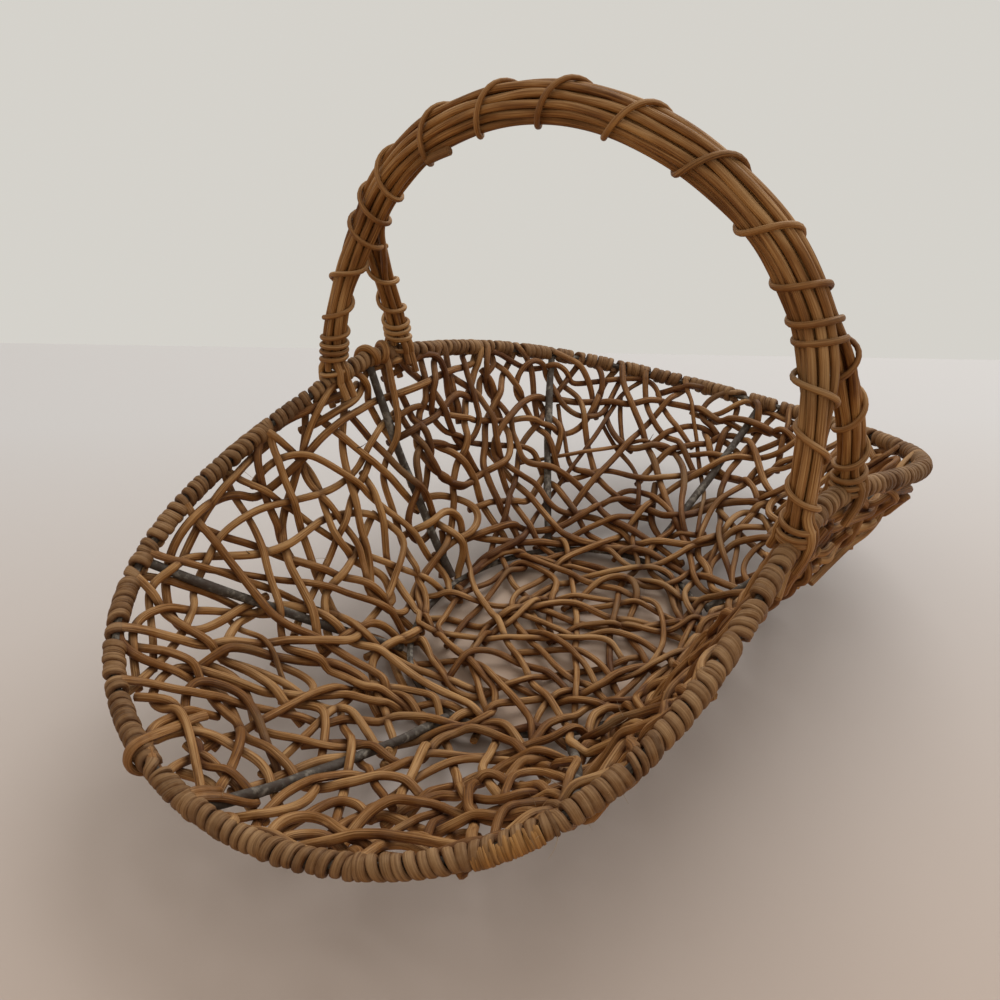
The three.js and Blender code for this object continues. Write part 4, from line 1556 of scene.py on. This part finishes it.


# Colours of cane, each from dark through middle to light, of dust, wear and wire, and of painted shade: the
# dark colour of close recesses and the darker, warmer tint of undersides
WEAVE_TONES = ((0.0634, 0.0165, 0.0013), (0.1928, 0.0786, 0.0159), (0.4133, 0.2369, 0.0964))
WRAP_TONES = ((0.0496, 0.0179, 0.0041), (0.1488, 0.0702, 0.0235), (0.2893, 0.1721, 0.0799))
HANDLE_TONES = ((0.0799, 0.0248, 0.0034), (0.2452, 0.1185, 0.0386), (0.4546, 0.2851, 0.1377))
FRAYED_TONES = ((0.0725, 0.029, 0.0058), (0.1958, 0.0928, 0.0261), (0.3625, 0.1885, 0.0609))
DARK_FIBRE_TONES = ((0.012, 0.007, 0.004), (0.03, 0.016, 0.009), (0.07, 0.04, 0.02))
PALE_FIBRE_TONES = ((0.20, 0.14, 0.09), (0.36, 0.28, 0.20), (0.55, 0.47, 0.38))
DUST = (0.3625, 0.2465, 0.1421)
# Painted shade in close recesses between canes and between rim turns
PAINTED_RECESS_SHADE = (0.0638, 0.0145, 0.0017)
AGED = (0.1711, 0.1044, 0.0479)
# Painted shade: the darker, warmer tint of sides that face down
UNDERSIDE_SHADE_TINT = (1.0, 0.76, 0.38)
RUST = (0.0435, 0.0261, 0.0159)
OLD_WIRE = (0.06, 0.047, 0.034)
WORN_WIRE = (0.19, 0.165, 0.13)
GRAIN_STRETCH = (1700.0, 40.0, 1.0)
PATCH_SCALE = 34.0
AGED_SCALE = 21.0
SPECK_SCALE = 300.0
FLAKE_SCALE = 380.0
RUST_SCALE = 70.0
GRAIN_DEPTH = 0.0007
FLAKE_DEPTH = 0.0008


def cane_finish(name, dark, middle, light, shine):
    f = Finish(bpy.data.materials.new(name))
    grain = f.noise(f.mapped(f.add("ShaderNodeUVMap", uv_map="cane").outputs["UV"], GRAIN_STRETCH), 1.0, 5.0)
    place = f.place()
    tone = f.attribute("tone")
    facing = f.apart(f.add("ShaderNodeNewGeometry").outputs["Normal"])["Z"]
    value = f.weighed(grain, 1.9, -1.4)
    value = f.weighed(f.noise(place, PATCH_SCALE), 0.95, value)
    value = f.weighed(tone, 0.95, value)
    # Painted light: sides that face up are a little lighter
    value = f.weighed(facing, 0.1, value)
    colour = f.ramp(value, (0.0, dark), (0.5, middle), (1.0, light))
    aged = f.weighed(f.noise(place, AGED_SCALE, 2.0), 5.0, -2.75)
    aged = f.worked("MULTIPLY", aged, f.weighed(tone, -0.9, 1.0), clamp=True)
    colour = f.blend(aged, colour, AGED)
    # Painted shade: the dark, rich colour where canes lie close and where rim turns meet
    colour = f.blend(f.weighed(f.attribute("recess_shade"), 0.85), colour, PAINTED_RECESS_SHADE)
    # Painted shade: sides that face down are darker and warmer
    colour = f.blend(f.weighed(facing, -0.6, 0.6, clamp=True), colour, UNDERSIDE_SHADE_TINT, "MULTIPLY")
    speck = f.weighed(f.noise(place, SPECK_SCALE, 4.0), 2.2, -0.45)
    colour = f.blend(f.worked("MULTIPLY", f.attribute("dust"), speck, clamp=True), colour, DUST)
    f.join(colour, f.shader.inputs["Base Color"])
    f.join(f.weighed(grain, 0.3, 0.42), f.shader.inputs["Roughness"])
    f.bump(grain, 0.9, GRAIN_DEPTH)
    f.shader.inputs["Specular IOR Level"].default_value = shine
    return f.owner


def wire_finish(name):
    f = Finish(bpy.data.materials.new(name))
    place = f.place()
    flakes = f.noise(place, FLAKE_SCALE, 6.0)
    value = f.weighed(f.noise(place, RUST_SCALE), 1.0, f.weighed(flakes, 1.1, -0.55))
    colour = f.ramp(value, (0.3, RUST), (0.54, OLD_WIRE), (0.76, WORN_WIRE))
    f.join(colour, f.shader.inputs["Base Color"])
    f.bump(flakes, 0.6, FLAKE_DEPTH)
    f.shader.inputs["Roughness"].default_value = 0.75
    return f.owner


weave_cane = cane_finish("woven cane", *WEAVE_TONES, 0.15)
wrap_cane = cane_finish("dusty wrapped cane", *WRAP_TONES, 0.1)
handle_cane = cane_finish("handle cane", *HANDLE_TONES, 0.15)
wire = wire_finish("dark wire")


# Wall canes by the bay that holds most of them, base canes in one piece, rim turns by bay
def bay_at(angle):
    return int(angle / TWO_PI * RIB_COUNT) % RIB_COUNT


def bay_of(points):
    found_in = [bay_at(angle) for angle in angle_of_bearing(np.arctan2(points[:, 1], points[:, 0]))]
    return int(np.argmax(np.bincount(found_in, minlength=RIB_COUNT)))


# Painted light and shade: how much paler or darker each bay is made, round from the far end; the bays on the
# camera's left are lighter and the far bays darker, as the light falls on their inner sides
BAY_PAINTED_LIGHT = (-0.2, -0.16, 0.16, 0.1, -0.03, -0.03, 0.0, -0.06)
bays = [[] for _ in range(RIB_COUNT)]
base_lines = []
for cane in canes:
    line = cane_line(cane)
    if cane["kind"] == "base":
        base_lines.append(line)
    else:
        k = bay_of(cane["route"])
        # Painted light and shade by bay
        line["tone"] = np.clip(line["tone"] + BAY_PAINTED_LIGHT[k], 0, 1)
        bays[k].append(line)
for k in range(RIB_COUNT):
    make_piece(f"side_canes_{k + 1}", bays[k], CANE_SIDES, weave_cane, "wall_cane", f"side_weave_{k + 1}")
make_piece("base_canes", base_lines, CANE_SIDES, weave_cane, "wall_cane", "base_weave")

wraps = [[] for _ in range(RIB_COUNT)]
for run in runs:
    if "points" in run:
        wraps[bay_at(rim_angle(run["start"] + run["length"] / 2))].append(run_line(run))
for k in range(RIB_COUNT):
    make_piece(f"rim_turns_{k + 1}", wraps[k], ROUND_SIDES, wrap_cane, "wrap_cane", f"rim_wrap_{k + 1}")


# Handle: two halves of seven canes that interlock on the arch and part into legs
def arch_stations():
    turn = np.linspace(0, math.pi, 4001)
    rise = np.sin(turn) ** ARCH_TOP_POWER
    y = RIM_WAIST * rounded(np.cos(turn), ARCH_SIDE_POWER) + HANDLE_LEAN * rise
    points = np.stack([np.zeros_like(turn), y, RIM_WAIST_HEIGHT + HANDLE_RISE * rise], -1)
    return points, travelled(points)


ARCH_POINTS, ARCH_RUN = arch_stations()
ARCH_LENGTH = ARCH_RUN[-1]
ROW = math.sqrt(3) / 2
HALF_MIDDLE = 5 / 7
HALF_SECTION = [
    (HALF_MIDDLE - 0.5, 2 * ROW),
    (HALF_MIDDLE - 1, ROW),
    (HALF_MIDDLE - 1.5, 0),
    (HALF_MIDDLE - 0.5, 0),
    (HALF_MIDDLE, -ROW),
    (HALF_MIDDLE - 1, -ROW),
    (HALF_MIDDLE - 0.5, -2 * ROW),
]
HANDLE_STEP = 3.0
HANDLE_SWAY = 0.32
WRAPPED_RADIUS = 5.2
STRADDLE = WRAPPED_RADIUS + 0.3 + HANDLE_CANE / 2
SEAT_HEIGHT = 6.5
LEG_SECTION = [(0.5, ROW), (-0.5, ROW), (-1, 0), (0, 0), (1, 0), (-0.5, -ROW), (0.5, -ROW)]
QUARTER = np.linspace(math.pi / 4, 3 * math.pi / 4, 400)


def arch_at(distance):
    return np.stack([np.interp(distance, ARCH_RUN, ARCH_POINTS[:, k]) for k in range(3)], -1)


def foot_of(side, end):
    """Where a leg meets the rim, and the way up the wall there."""
    angle = np.array([end * float(np.interp(-side * FOOT_SPREAD, -rim_point(QUARTER)[:, 0], QUARTER))])
    below = wall_point(angle, np.full(1, 1 - SMALL_STEP))
    return rim_point(angle)[0], unit(wall_point(angle, np.ones(1)) - below)[0]


def half_line(side, distance):
    """Middle line of the front half (side -1) or the rear half (side 1) of the handle."""
    distance = np.atleast_1d(np.asarray(distance, float))
    end = np.where(distance < ARCH_LENGTH / 2, 1.0, -1.0)
    height = np.minimum(distance, ARCH_LENGTH - distance)
    feet = zip(foot_of(side, 1), foot_of(side, -1))
    foot, slope = [np.where((end > 0)[:, None], left, right) for left, right in feet]
    place = arch_at(np.clip(distance, 0, ARCH_LENGTH))
    share = np.sin(math.pi / 2 * np.clip(1 - height / FORK_HEIGHT, 0, 1)) ** FORK_SOFTNESS
    gathered = HANDLE_OFFSET + side * HALF_MIDDLE * HANDLE_PITCH
    place[:, 0] = mix(gathered, foot[:, 0], share)
    place[:, 1] += share * (foot[:, 1] - end * RIM_WAIST)
    place[:, 2] += share * (foot[:, 2] - RIM_WAIST_HEIGHT)
    return np.where((height < 0)[:, None], foot + slope * height[:, None], place)


def beside(line, distance, across, outward):
    along = unit(line(distance + 0.5) - line(distance - 0.5))
    out = unit(np.stack([np.zeros(len(along)), along[:, 2], -along[:, 1]], -1))
    side = np.cross(out, along)
    across = each(across, len(along))[:, None]
    return line(distance) + side * across + out * each(outward, len(along))[:, None], out


def gather_share(height):
    return fade(height, FORK_HEIGHT - HANDLE_PITCH, FORK_GATHER_HEIGHT)


def loosening(share):
    return 1 / np.sqrt(1 - share * (1 - share))


def handle_line(side, index):
    leg_across, leg_out = LEG_SECTION[index]
    arch_across, arch_out = HALF_SECTION[index]
    seated = leg_out == 0
    tails = [SEAT_HEIGHT] * 2 if seated else [-FOOT_TAIL * rng.uniform(0.5, 1.1) for _ in range(2)]
    count = int((ARCH_LENGTH - tails[0] - tails[1]) / HANDLE_STEP)
    distance = np.linspace(tails[0], ARCH_LENGTH - tails[1], count)
    height = np.minimum(distance, ARCH_LENGTH - distance)
    share = gather_share(height)
    spread = -side * HANDLE_PITCH * loosening(share)
    across = spread * mix(arch_across, leg_across, share) + wavering(count, HANDLE_SWAY, HANDLE_STEP)
    outward = spread * mix(arch_out, leg_out, share) + wavering(count, HANDLE_SWAY, HANDLE_STEP)
    flare = 0 if seated else fade(height, FOOT_FLARE_HEIGHT, WRAPPED_RADIUS)
    outward = mix(outward, np.sign(leg_out * -side) * STRADDLE, flare)
    points, out = beside(lambda d: half_line(side, d), distance, across, outward)
    width = HANDLE_CANE * rng.uniform(*CANE_WIDTHS)
    return {
        "points": points,
        "up": out,
        "across": width * (1 + wavering(count, 0.04, HANDLE_STEP)),
        "thick": width * (1 + wavering(count, 0.04, HANDLE_STEP)),
        "shift": rng.uniform(0, 900),
        "tone": np.clip(rng.gauss(0.52, 0.1) + wavering(count, 0.1, HANDLE_STEP), 0, 1),
        "dust": 0.05,
    }


for side, half in ((-1, "front"), (1, "rear")):
    for index in range(len(HALF_SECTION)):
        name = f"{half}_handle_stick_{index + 1}"
        node = f"{half}_handle_cane_{index + 1}"
        make_piece(name, [handle_line(side, index)], ROUND_SIDES, handle_cane, "handle_cane", node)

# Bindings: where each crosses the side of the handle that the picture shows, from fork to fork or to foot
ARCH_TURN_PLACES = (
    "372,232 379,206 395,181 435,139 489,106 553,102 627,119 703,161 767,227 801,283 812,321 812,340"
)
LEG_TURN_PLACES = {
    ("front", "left"): "354,276 345,318 343,338 341,345 340,351 339,357 338,372",
    ("rear", "left"): "388,268 391,302 396,321 397,327 398,333 399,345",
    ("front", "right"): "810,386 808,436 797,496 794,524 793,532 792,540",
    ("rear", "right"): "840,370 838,420 838,460 838,473 838,480 838,487",
}
BINDING_STEPS = 24
BINDING_SOFTNESS = 14
HUG = HANDLE_CANE / 2 + BINDING * 0.36
LEG_REACH = (2, 95)


def distances_along(line, places, low, high, count=600):
    """Distances along a line at which it passes places of the picture."""
    distance = np.linspace(low, high, count)
    picture = seen(line(distance))
    return [float(distance[np.argmin(np.linalg.norm(picture - place, axis=1))]) for place in places]


def wound(line, places, low, high, section, way):
    """A binding cane that passes the side of the bundle that the picture shows at each place."""
    marks = np.array(distances_along(line, places_of(places), low, high))
    turns = np.linspace(-0.5, len(marks) - 0.5, len(marks) * BINDING_STEPS + 1)
    numbers = np.arange(len(marks))
    first = marks[0] - (marks[1] - marks[0]) * 0.5
    last = marks[-1] + (marks[-1] - marks[-2]) * 0.5
    distance = np.interp(turns, [-0.5, *numbers, len(marks) - 0.5], [first, *marks, last])
    distance = softened(distance[:, None], BINDING_SOFTNESS)[:, 0]
    across, outward = section(distance)
    angle = math.pi + way * turns * TWO_PI
    points, _ = beside(line, distance, across * np.cos(angle), outward * np.sin(angle))
    return {
        "points": points,
        "up": unit(points - line(distance)),
        "across": BINDING * rng.uniform(0.98, 1.1),
        "thick": BINDING * 0.85,
        "shift": rng.uniform(0, 900),
        "tone": np.clip(rng.gauss(0.6, 0.1) + wavering(len(points), 0.1), 0, 1),
        "dust": 0.12,
    }


def arch_middle(distance):
    place = arch_at(distance)
    place[:, 0] = HANDLE_OFFSET
    return place


def arch_section(_):
    return 1.5 * HANDLE_PITCH + HUG, 1.8 * HANDLE_PITCH + HUG


lowest = FORK_HEIGHT - 12
binding = wound(arch_middle, ARCH_TURN_PLACES, lowest, ARCH_LENGTH - lowest, arch_section, -1)
make_piece("arch_binding_cane", [binding], ROUND_SIDES, handle_cane, "binding_cane", "arch_binding")

for (half, end), places in LEG_TURN_PLACES.items():
    side = -1 if half == "front" else 1

    def leg_middle(distance, side=side):
        return half_line(side, distance)

    def leg_section(distance, side=side):
        height = np.minimum(distance, ARCH_LENGTH - distance)
        share = gather_share(height)
        across = mix(1.5 - HALF_MIDDLE, 1, share) * loosening(share) * HANDLE_PITCH + HUG
        outward = mix(2 * ROW, 1, share) * loosening(share) * HANDLE_PITCH + HUG
        return across, outward

    low, high = LEG_REACH if end == "left" else (ARCH_LENGTH - LEG_REACH[1], ARCH_LENGTH - LEG_REACH[0])
    binding = wound(leg_middle, places, low, high, leg_section, side)
    name, node = f"{half}_{end}_leg_lashing", f"{half}_{end}_leg_binding"
    make_piece(name, [binding], ROUND_SIDES, handle_cane, "binding_cane", node)

# Ribs: old uneven wire with flaking sides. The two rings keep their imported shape, with the same finish.
RIB_STEP = 2.0
RIB_SWAY = 0.5
RIB_UNEVENNESS = 0.08


def rib_line(number):
    angle = number * TWO_PI / RIB_COUNT
    length = float(wall_depth(np.array([angle]))[0])
    ends = np.array([WIRE_RADIUS + RIB_RADIUS, length - WIRE_RADIUS - 1.0]) / length
    count = int(length / RIB_STEP)
    share = np.linspace(*ends, count)
    angles = np.full(count, angle)
    sway = wavering(count, RIB_SWAY, RIB_STEP) * np.sin(np.linspace(0, math.pi, count))
    points = wall_point(angles, share, 0.0)
    outward = wall_normal(angles, share)
    along = unit(np.gradient(points, axis=0))
    points = points + np.cross(along, outward) * sway[:, None]
    return {
        "points": points,
        "up": outward,
        "across": 2 * RIB_RADIUS * (1 + wavering(count, RIB_UNEVENNESS, RIB_STEP)),
        "thick": 2 * RIB_RADIUS * (1 + wavering(count, RIB_UNEVENNESS, RIB_STEP)),
        "shift": rng.uniform(0, 900),
        "tone": 0.5,
        "dust": 0.0,
    }


for k in range(RIB_COUNT):
    make_piece(f"rib_wire_{k + 1}", [rib_line(k)], RIB_SIDES, wire, "frame_wire", f"rib_{k + 1}")
for name in ("base_ring", "rim_ring"):
    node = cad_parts[name]
    node.data.materials.clear()
    node.data.materials.append(wire)


# Small things that the picture shows: bent loops over the rim, a stray end, frayed turns and fibres
SPLAY_START = math.pi + 1.0
SPLAY_STOP = -1.1
RIM_PLACES = 2400
LOOP_STEPS = 26
LOOP_RADIUS = WRAP_RADIUS + WRAP_THICKNESS * 0.95
LOOP_RISE = 0.4
LEFT_FOOT_LOOPS = (((366, 357), 8.0), ((383, 350), -10.0))
LEFT_FOOT_LOOP_WIDTH = 4.4
SIDE_LOOP_PLACE = (149, 752)
SIDE_LOOP_LEAN = 7.0
SIDE_LOOP_START = math.pi + 0.2
SIDE_LOOP_STOP = -1.2
SIDE_LOOP_EXTRA = 0.5
SIDE_LOOP_WIDTH = 5.2
SIDE_LOOP_FLATNESS = 0.68
SIDE_LOOP_TAIL = "204,720 192,723 180,729"
TAIL_DEPTH = WALL_CANE * 0.6
BENT_PART = slice(4, None, 3)
STRAY_PLACES = "885,503 877,519 865,533 850,544 830,563 810,583"
STRAY_ANGLE = math.radians(304)
STRAY_ROOT = 0.93
STRAY_DEPTHS = (546, 547, 546, 543, 539, 534)
STRAY_WIDTH = 4.1
NUB_PLACE = (448, 150)
NUB_BACK = 9
NUB_AHEAD = 7
NUB_STEPS = 10
NUB_DROP = 1.6
NUB_WIDTH = 4.6
FRAYED_ENDS = "474,862 540,835"
FRAYED_STRIPS = 36
FRAYED_TOPS = (1.9, 2.9)
FRAYED_FOOTS = (0.6, 1.4)
FRAYED_WIDTHS = (0.9, 1.7)
FRAYED_FLATNESS = 0.45
DEPTH_WEIGHT = 0.05
FIBRE_LIFT = 1.6
FIBRE_STEPS = 9
FIBRE_TAPER = 0.7
LAID_POINTS = np.concatenate(LAID_LINES)
LAID_PICTURE = seen(LAID_POINTS)
LAID_DEPTHS = (LAID_POINTS - CAMERA_PLACE) @ FORWARD
DARK_FIBRE_PLACES = "410,880 525,856 477,425 650,436 255,563 300,424 385,610 352,452"
PALE_FIBRE_PLACES = (
    "545,850 552,846 560,842 575,825 583,818 592,812 600,800 610,790 620,780 630,772"
    " 624,720 630,716 566,788 548,802 536,812 508,826 470,838 222,796 240,470 262,520 330,560"
)


def over_rim(place, lean, start, stop, radius):
    """A cane bent over the wrapped rim from one side to the other, its ends between the turns."""
    share = np.linspace(0, 1, LOOP_STEPS)
    angle = mix(start, stop, share)
    middle = distances_along(lambda d: rim_point(rim_angle(d)), [place], 0, RIM_LENGTH, RIM_PLACES)[0]
    point, up, outward = rim_frame(middle + lean * (share - 0.5))
    around = leaning(outward, up, angle)
    lift = mix(WRAP_RADIUS, radius, np.sin(share * math.pi) ** LOOP_RISE)
    return point + around * lift[:, None], around


def plain_line(points, up, width, tone, dust=0.1, flatness=1.0):
    return {
        "points": points,
        "up": up,
        "across": width * (1 + wavering(len(points), 0.04, 1.0)),
        "thick": width * flatness,
        "shift": rng.uniform(0, 900),
        "tone": tone,
        "dust": dust,
    }


loops = []
for place, lean in LEFT_FOOT_LOOPS:
    points, around = over_rim(place, lean, SPLAY_START, SPLAY_STOP, LOOP_RADIUS)
    loops.append(plain_line(points, around, LEFT_FOOT_LOOP_WIDTH, tone=0.45))
radius = LOOP_RADIUS + SIDE_LOOP_EXTRA
bent, around = over_rim(SIDE_LOOP_PLACE, SIDE_LOOP_LEAN, SIDE_LOOP_START, SIDE_LOOP_STOP, radius)
tail, out = lay(found(places_of(SIDE_LOOP_TAIL)))
tail = tail - out * TAIL_DEPTH
line = softened(through(np.concatenate([tail, bent[BENT_PART]]), 6), 4)
up = through(np.concatenate([-out, around[BENT_PART]]), 6)
loops.append(plain_line(line, up, SIDE_LOOP_WIDTH, tone=0.5, dust=0.2, flatness=SIDE_LOOP_FLATNESS))
make_piece("rim_loops", loops, ROUND_SIDES, weave_cane, "wrap_cane")

root = wall_point(np.array([STRAY_ANGLE]), np.array([STRAY_ROOT]))
stray = zip(places_of(STRAY_PLACES), STRAY_DEPTHS)
stray = [CAMERA_PLACE + sight(*place) * (depth / FOCUS) for place, depth in stray]
stray = softened(through(np.concatenate([root, stray]), 8), 3)
outward = np.broadcast_to(wall_normal(np.array([STRAY_ANGLE]), np.array([0.8])), stray.shape)
lines = [plain_line(stray, outward, STRAY_WIDTH, tone=0.55, dust=0.25)]
make_piece("stray_cane", lines, ROUND_SIDES, weave_cane, "wall_cane")

middle = distances_along(arch_middle, [NUB_PLACE], FORK_HEIGHT, ARCH_LENGTH - FORK_HEIGHT)[0]
nub_run = np.linspace(middle - NUB_BACK, middle + NUB_AHEAD, NUB_STEPS)
drop = -(2 * ROW + 0.5) * HANDLE_PITCH - NUB_DROP * np.linspace(0, 1, NUB_STEPS)
points, out = beside(arch_middle, nub_run, -HANDLE_PITCH, drop)
lines = [plain_line(points, out, NUB_WIDTH, tone=0.4)]
make_piece("handle_nub", lines, ROUND_SIDES, handle_cane, "handle_cane")

frayed = []
first, last = places_of(FRAYED_ENDS)
for place in first + (last - first) * np.linspace(0, 1, FRAYED_STRIPS)[:, None]:
    reach = WRAP_RADIUS + WRAP_THICKNESS / 2 + rng.uniform(0.0, 0.5)
    top = rng.uniform(*FRAYED_TOPS)
    points, around = over_rim(place, rng.gauss(0, 0.5), top, -rng.uniform(*FRAYED_FOOTS), reach)
    width = rng.uniform(*FRAYED_WIDTHS)
    frayed.append(plain_line(points, around, width, rng.uniform(0.3, 1), 0.15, FRAYED_FLATNESS))
make_piece("frayed_turns", frayed, FRAYED_SIDES, cane_finish("frayed cane", *FRAYED_TONES, 0.1), "wrap_cane")


def cane_surface_at(place):
    """The front of the cane that shows at a place of the picture, and the way out of it."""
    near = np.linalg.norm(LAID_PICTURE - place, axis=1)
    spot = LAID_POINTS[np.argmin(near + DEPTH_WEIGHT * LAID_DEPTHS)]
    toward = unit(CAMERA_PLACE - spot)
    return spot + toward * FIBRE_LIFT, toward


def across_to(way):
    return unit(np.cross(way, [rng.gauss(0, 1) for _ in range(3)]))


def fibres(places, length, width, curl):
    lines = []
    for place in places_of(places):
        root, toward = cane_surface_at(place)
        way = unit(across_to(toward) + toward * rng.uniform(0.1, 0.6))
        bend = across_to(way)
        t = np.linspace(0, 1, FIBRE_STEPS)[:, None]
        reach = length * rng.uniform(0.6, 1.2)
        points = root + way * (reach * t) + bend * (reach * curl * t * t)
        line = plain_line(points, toward, width, 0.5)
        line["across"] = width * (1 - FIBRE_TAPER * t[:, 0])
        line["thick"] = line["across"]
        line["up"] = np.broadcast_to(bend, points.shape)
        lines.append(line)
    return lines


for name, places, length, width, curl, tones in (
    ("dark", DARK_FIBRE_PLACES, 7.0, 0.8, 0.5, DARK_FIBRE_TONES),
    ("pale", PALE_FIBRE_PLACES, 8.0, 0.34, 0.6, PALE_FIBRE_TONES),
):
    finish = cane_finish(f"{name} fibre", *tones, 0.1)
    make_piece(f"{name}_fibres", fibres(places, length, width, curl), FIBRE_SIDES, finish, "wall_cane")

# Room: a pale floor, with painted shade toward the front and a painted shadow under the basket, under a
# plain pale backdrop; soft light, and the camera
FLOOR_SIZE = 12.0
# Painted shade: the floor's colour from near to far, darker and warmer toward the front
FLOOR_NEAR = (0.46, 0.375, 0.315)
FLOOR_FAR = (0.52, 0.515, 0.51)
# Painted shadow: the darker, warmer colour of the floor under the base
FLOOR_PAINTED_SHADOW = (0.78, 0.64, 0.52)
NEAR_EDGE = -0.30
FAR_EDGE = 0.28
BACKDROP = (0.665, 0.645, 0.60)
HORIZON_LEFT = 343
HORIZON_RIGHT = 360
# Where the painted shadow under the base is full and where it has faded out
PATCH_INNER = 0.42
PATCH_OUTER = 0.62
BRIGHT_HEADING = math.radians(-8)
BRIGHT_SPAN = 0.7
FRONT_LIGHT = (0.68, 0.59, 0.50)
BACK_LIGHT = (0.90, 0.885, 0.875)
LAMP_SIZE = 2.4
LAMP_POWER = 50.0
LAMP_PLACE = (1.9, 0.23, 2.1)


def floor_finish():
    """A pale floor with painted shade, a little darker and warmer toward the front, and a painted shadow
    under the base.
    """
    f = Finish(bpy.data.materials.new("floor"))
    span = FAR_EDGE - NEAR_EDGE
    away = f.apart(f.mapped(f.place(), heading=CAMERA_HEADING))["X"]
    # Painted shade: darker and warmer toward the front
    colour = f.ramp(f.weighed(away, 1 / span, -NEAR_EDGE / span), (0.0, FLOOR_NEAR), (1.0, FLOOR_FAR))
    stretch = (1 / (RING_HALF_LENGTH * MM), 1 / (RING_HALF_WIDTH * MM), 0)
    reach = f.add("ShaderNodeVectorMath", operation="LENGTH")
    f.join(f.mapped(f.place(), stretch), reach.inputs[0])
    reach = f.weighed(reach.outputs["Value"], 0.5)
    # Painted shadow under the base
    painted_shadow = f.ramp(reach, (PATCH_INNER, FLOOR_PAINTED_SHADOW), (PATCH_OUTER, (1.0, 1.0, 1.0)))
    f.join(f.blend(1.0, colour, painted_shadow, "MULTIPLY"), f.shader.inputs["Base Color"])
    f.shader.inputs["Roughness"].default_value = 0.85
    return f.owner


def make_floor():
    """A plain floor that ends along the line where the picture's floor ends."""
    left, right = sight(0, HORIZON_LEFT), sight(PICTURE_SIZE, HORIZON_RIGHT)
    left = CAMERA_PLACE - left * (CAMERA_PLACE[2] / left[2])
    right = CAMERA_PLACE - right * (CAMERA_PLACE[2] / right[2])
    along = unit(right - left)
    toward = np.array([along[1], -along[0], 0.0])
    middle = (left + right) / 2 * MM + toward * (FLOOR_SIZE / 2)
    turn = (0, 0, math.atan2(along[1], along[0]))
    bpy.ops.object.select_all(action="DESELECT")
    bpy.ops.mesh.primitive_plane_add(size=FLOOR_SIZE, location=(middle[0], middle[1], 0), rotation=turn)
    bpy.ops.object.transform_apply(location=True, rotation=True, scale=True)
    floor = bpy.context.object
    floor.name = "floor"
    floor.data.materials.append(floor_finish())


def make_lights():
    """A wide lamp, and even light from all round that is stronger from behind the basket."""
    data = bpy.data.lights.new("window light", "AREA")
    data.shape = "DISK"
    data.size = LAMP_SIZE
    data.energy = LAMP_POWER
    lamp = bpy.data.objects.new("window light", data)
    bpy.context.scene.collection.objects.link(lamp)
    lamp.location = LAMP_PLACE
    lamp.rotation_euler = (-Vector(LAMP_PLACE)).to_track_quat("-Z", "Y").to_euler()
    world = bpy.data.worlds.new("soft room light")
    f = Finish(world, "Background")
    way = f.mapped(f.add("ShaderNodeTexCoord").outputs["Generated"], heading=BRIGHT_HEADING)
    share = f.add("ShaderNodeMapRange", From_Min=-BRIGHT_SPAN, From_Max=BRIGHT_SPAN)
    f.join(f.apart(way)["X"], share.inputs["Value"])
    light = f.blend(share.outputs["Result"], FRONT_LIGHT, BACK_LIGHT)
    path = f.add("ShaderNodeLightPath").outputs
    shown = f.worked("MAXIMUM", path["Is Camera Ray"], path["Is Glossy Ray"])
    shown = f.worked("MAXIMUM", shown, path["Is Transmission Ray"])
    f.join(f.blend(shown, light, BACKDROP), f.shader.inputs["Color"])
    bpy.context.scene.world = world


def make_camera():
    turned = Matrix((PICTURE_RIGHT, PICTURE_UP, -FORWARD)).transposed().to_4x4()
    data = bpy.data.cameras.new("camera")
    data.lens = CAMERA_LENS
    data.sensor_width = SENSOR_WIDTH
    camera = bpy.data.objects.new("camera", data)
    bpy.context.scene.collection.objects.link(camera)
    camera.matrix_world = Matrix.Translation(Vector(CAMERA_PLACE) * MM) @ turned
    bpy.context.scene.camera = camera


make_floor()
make_lights()
make_camera()
bpy.context.scene.view_settings.view_transform = "Standard"
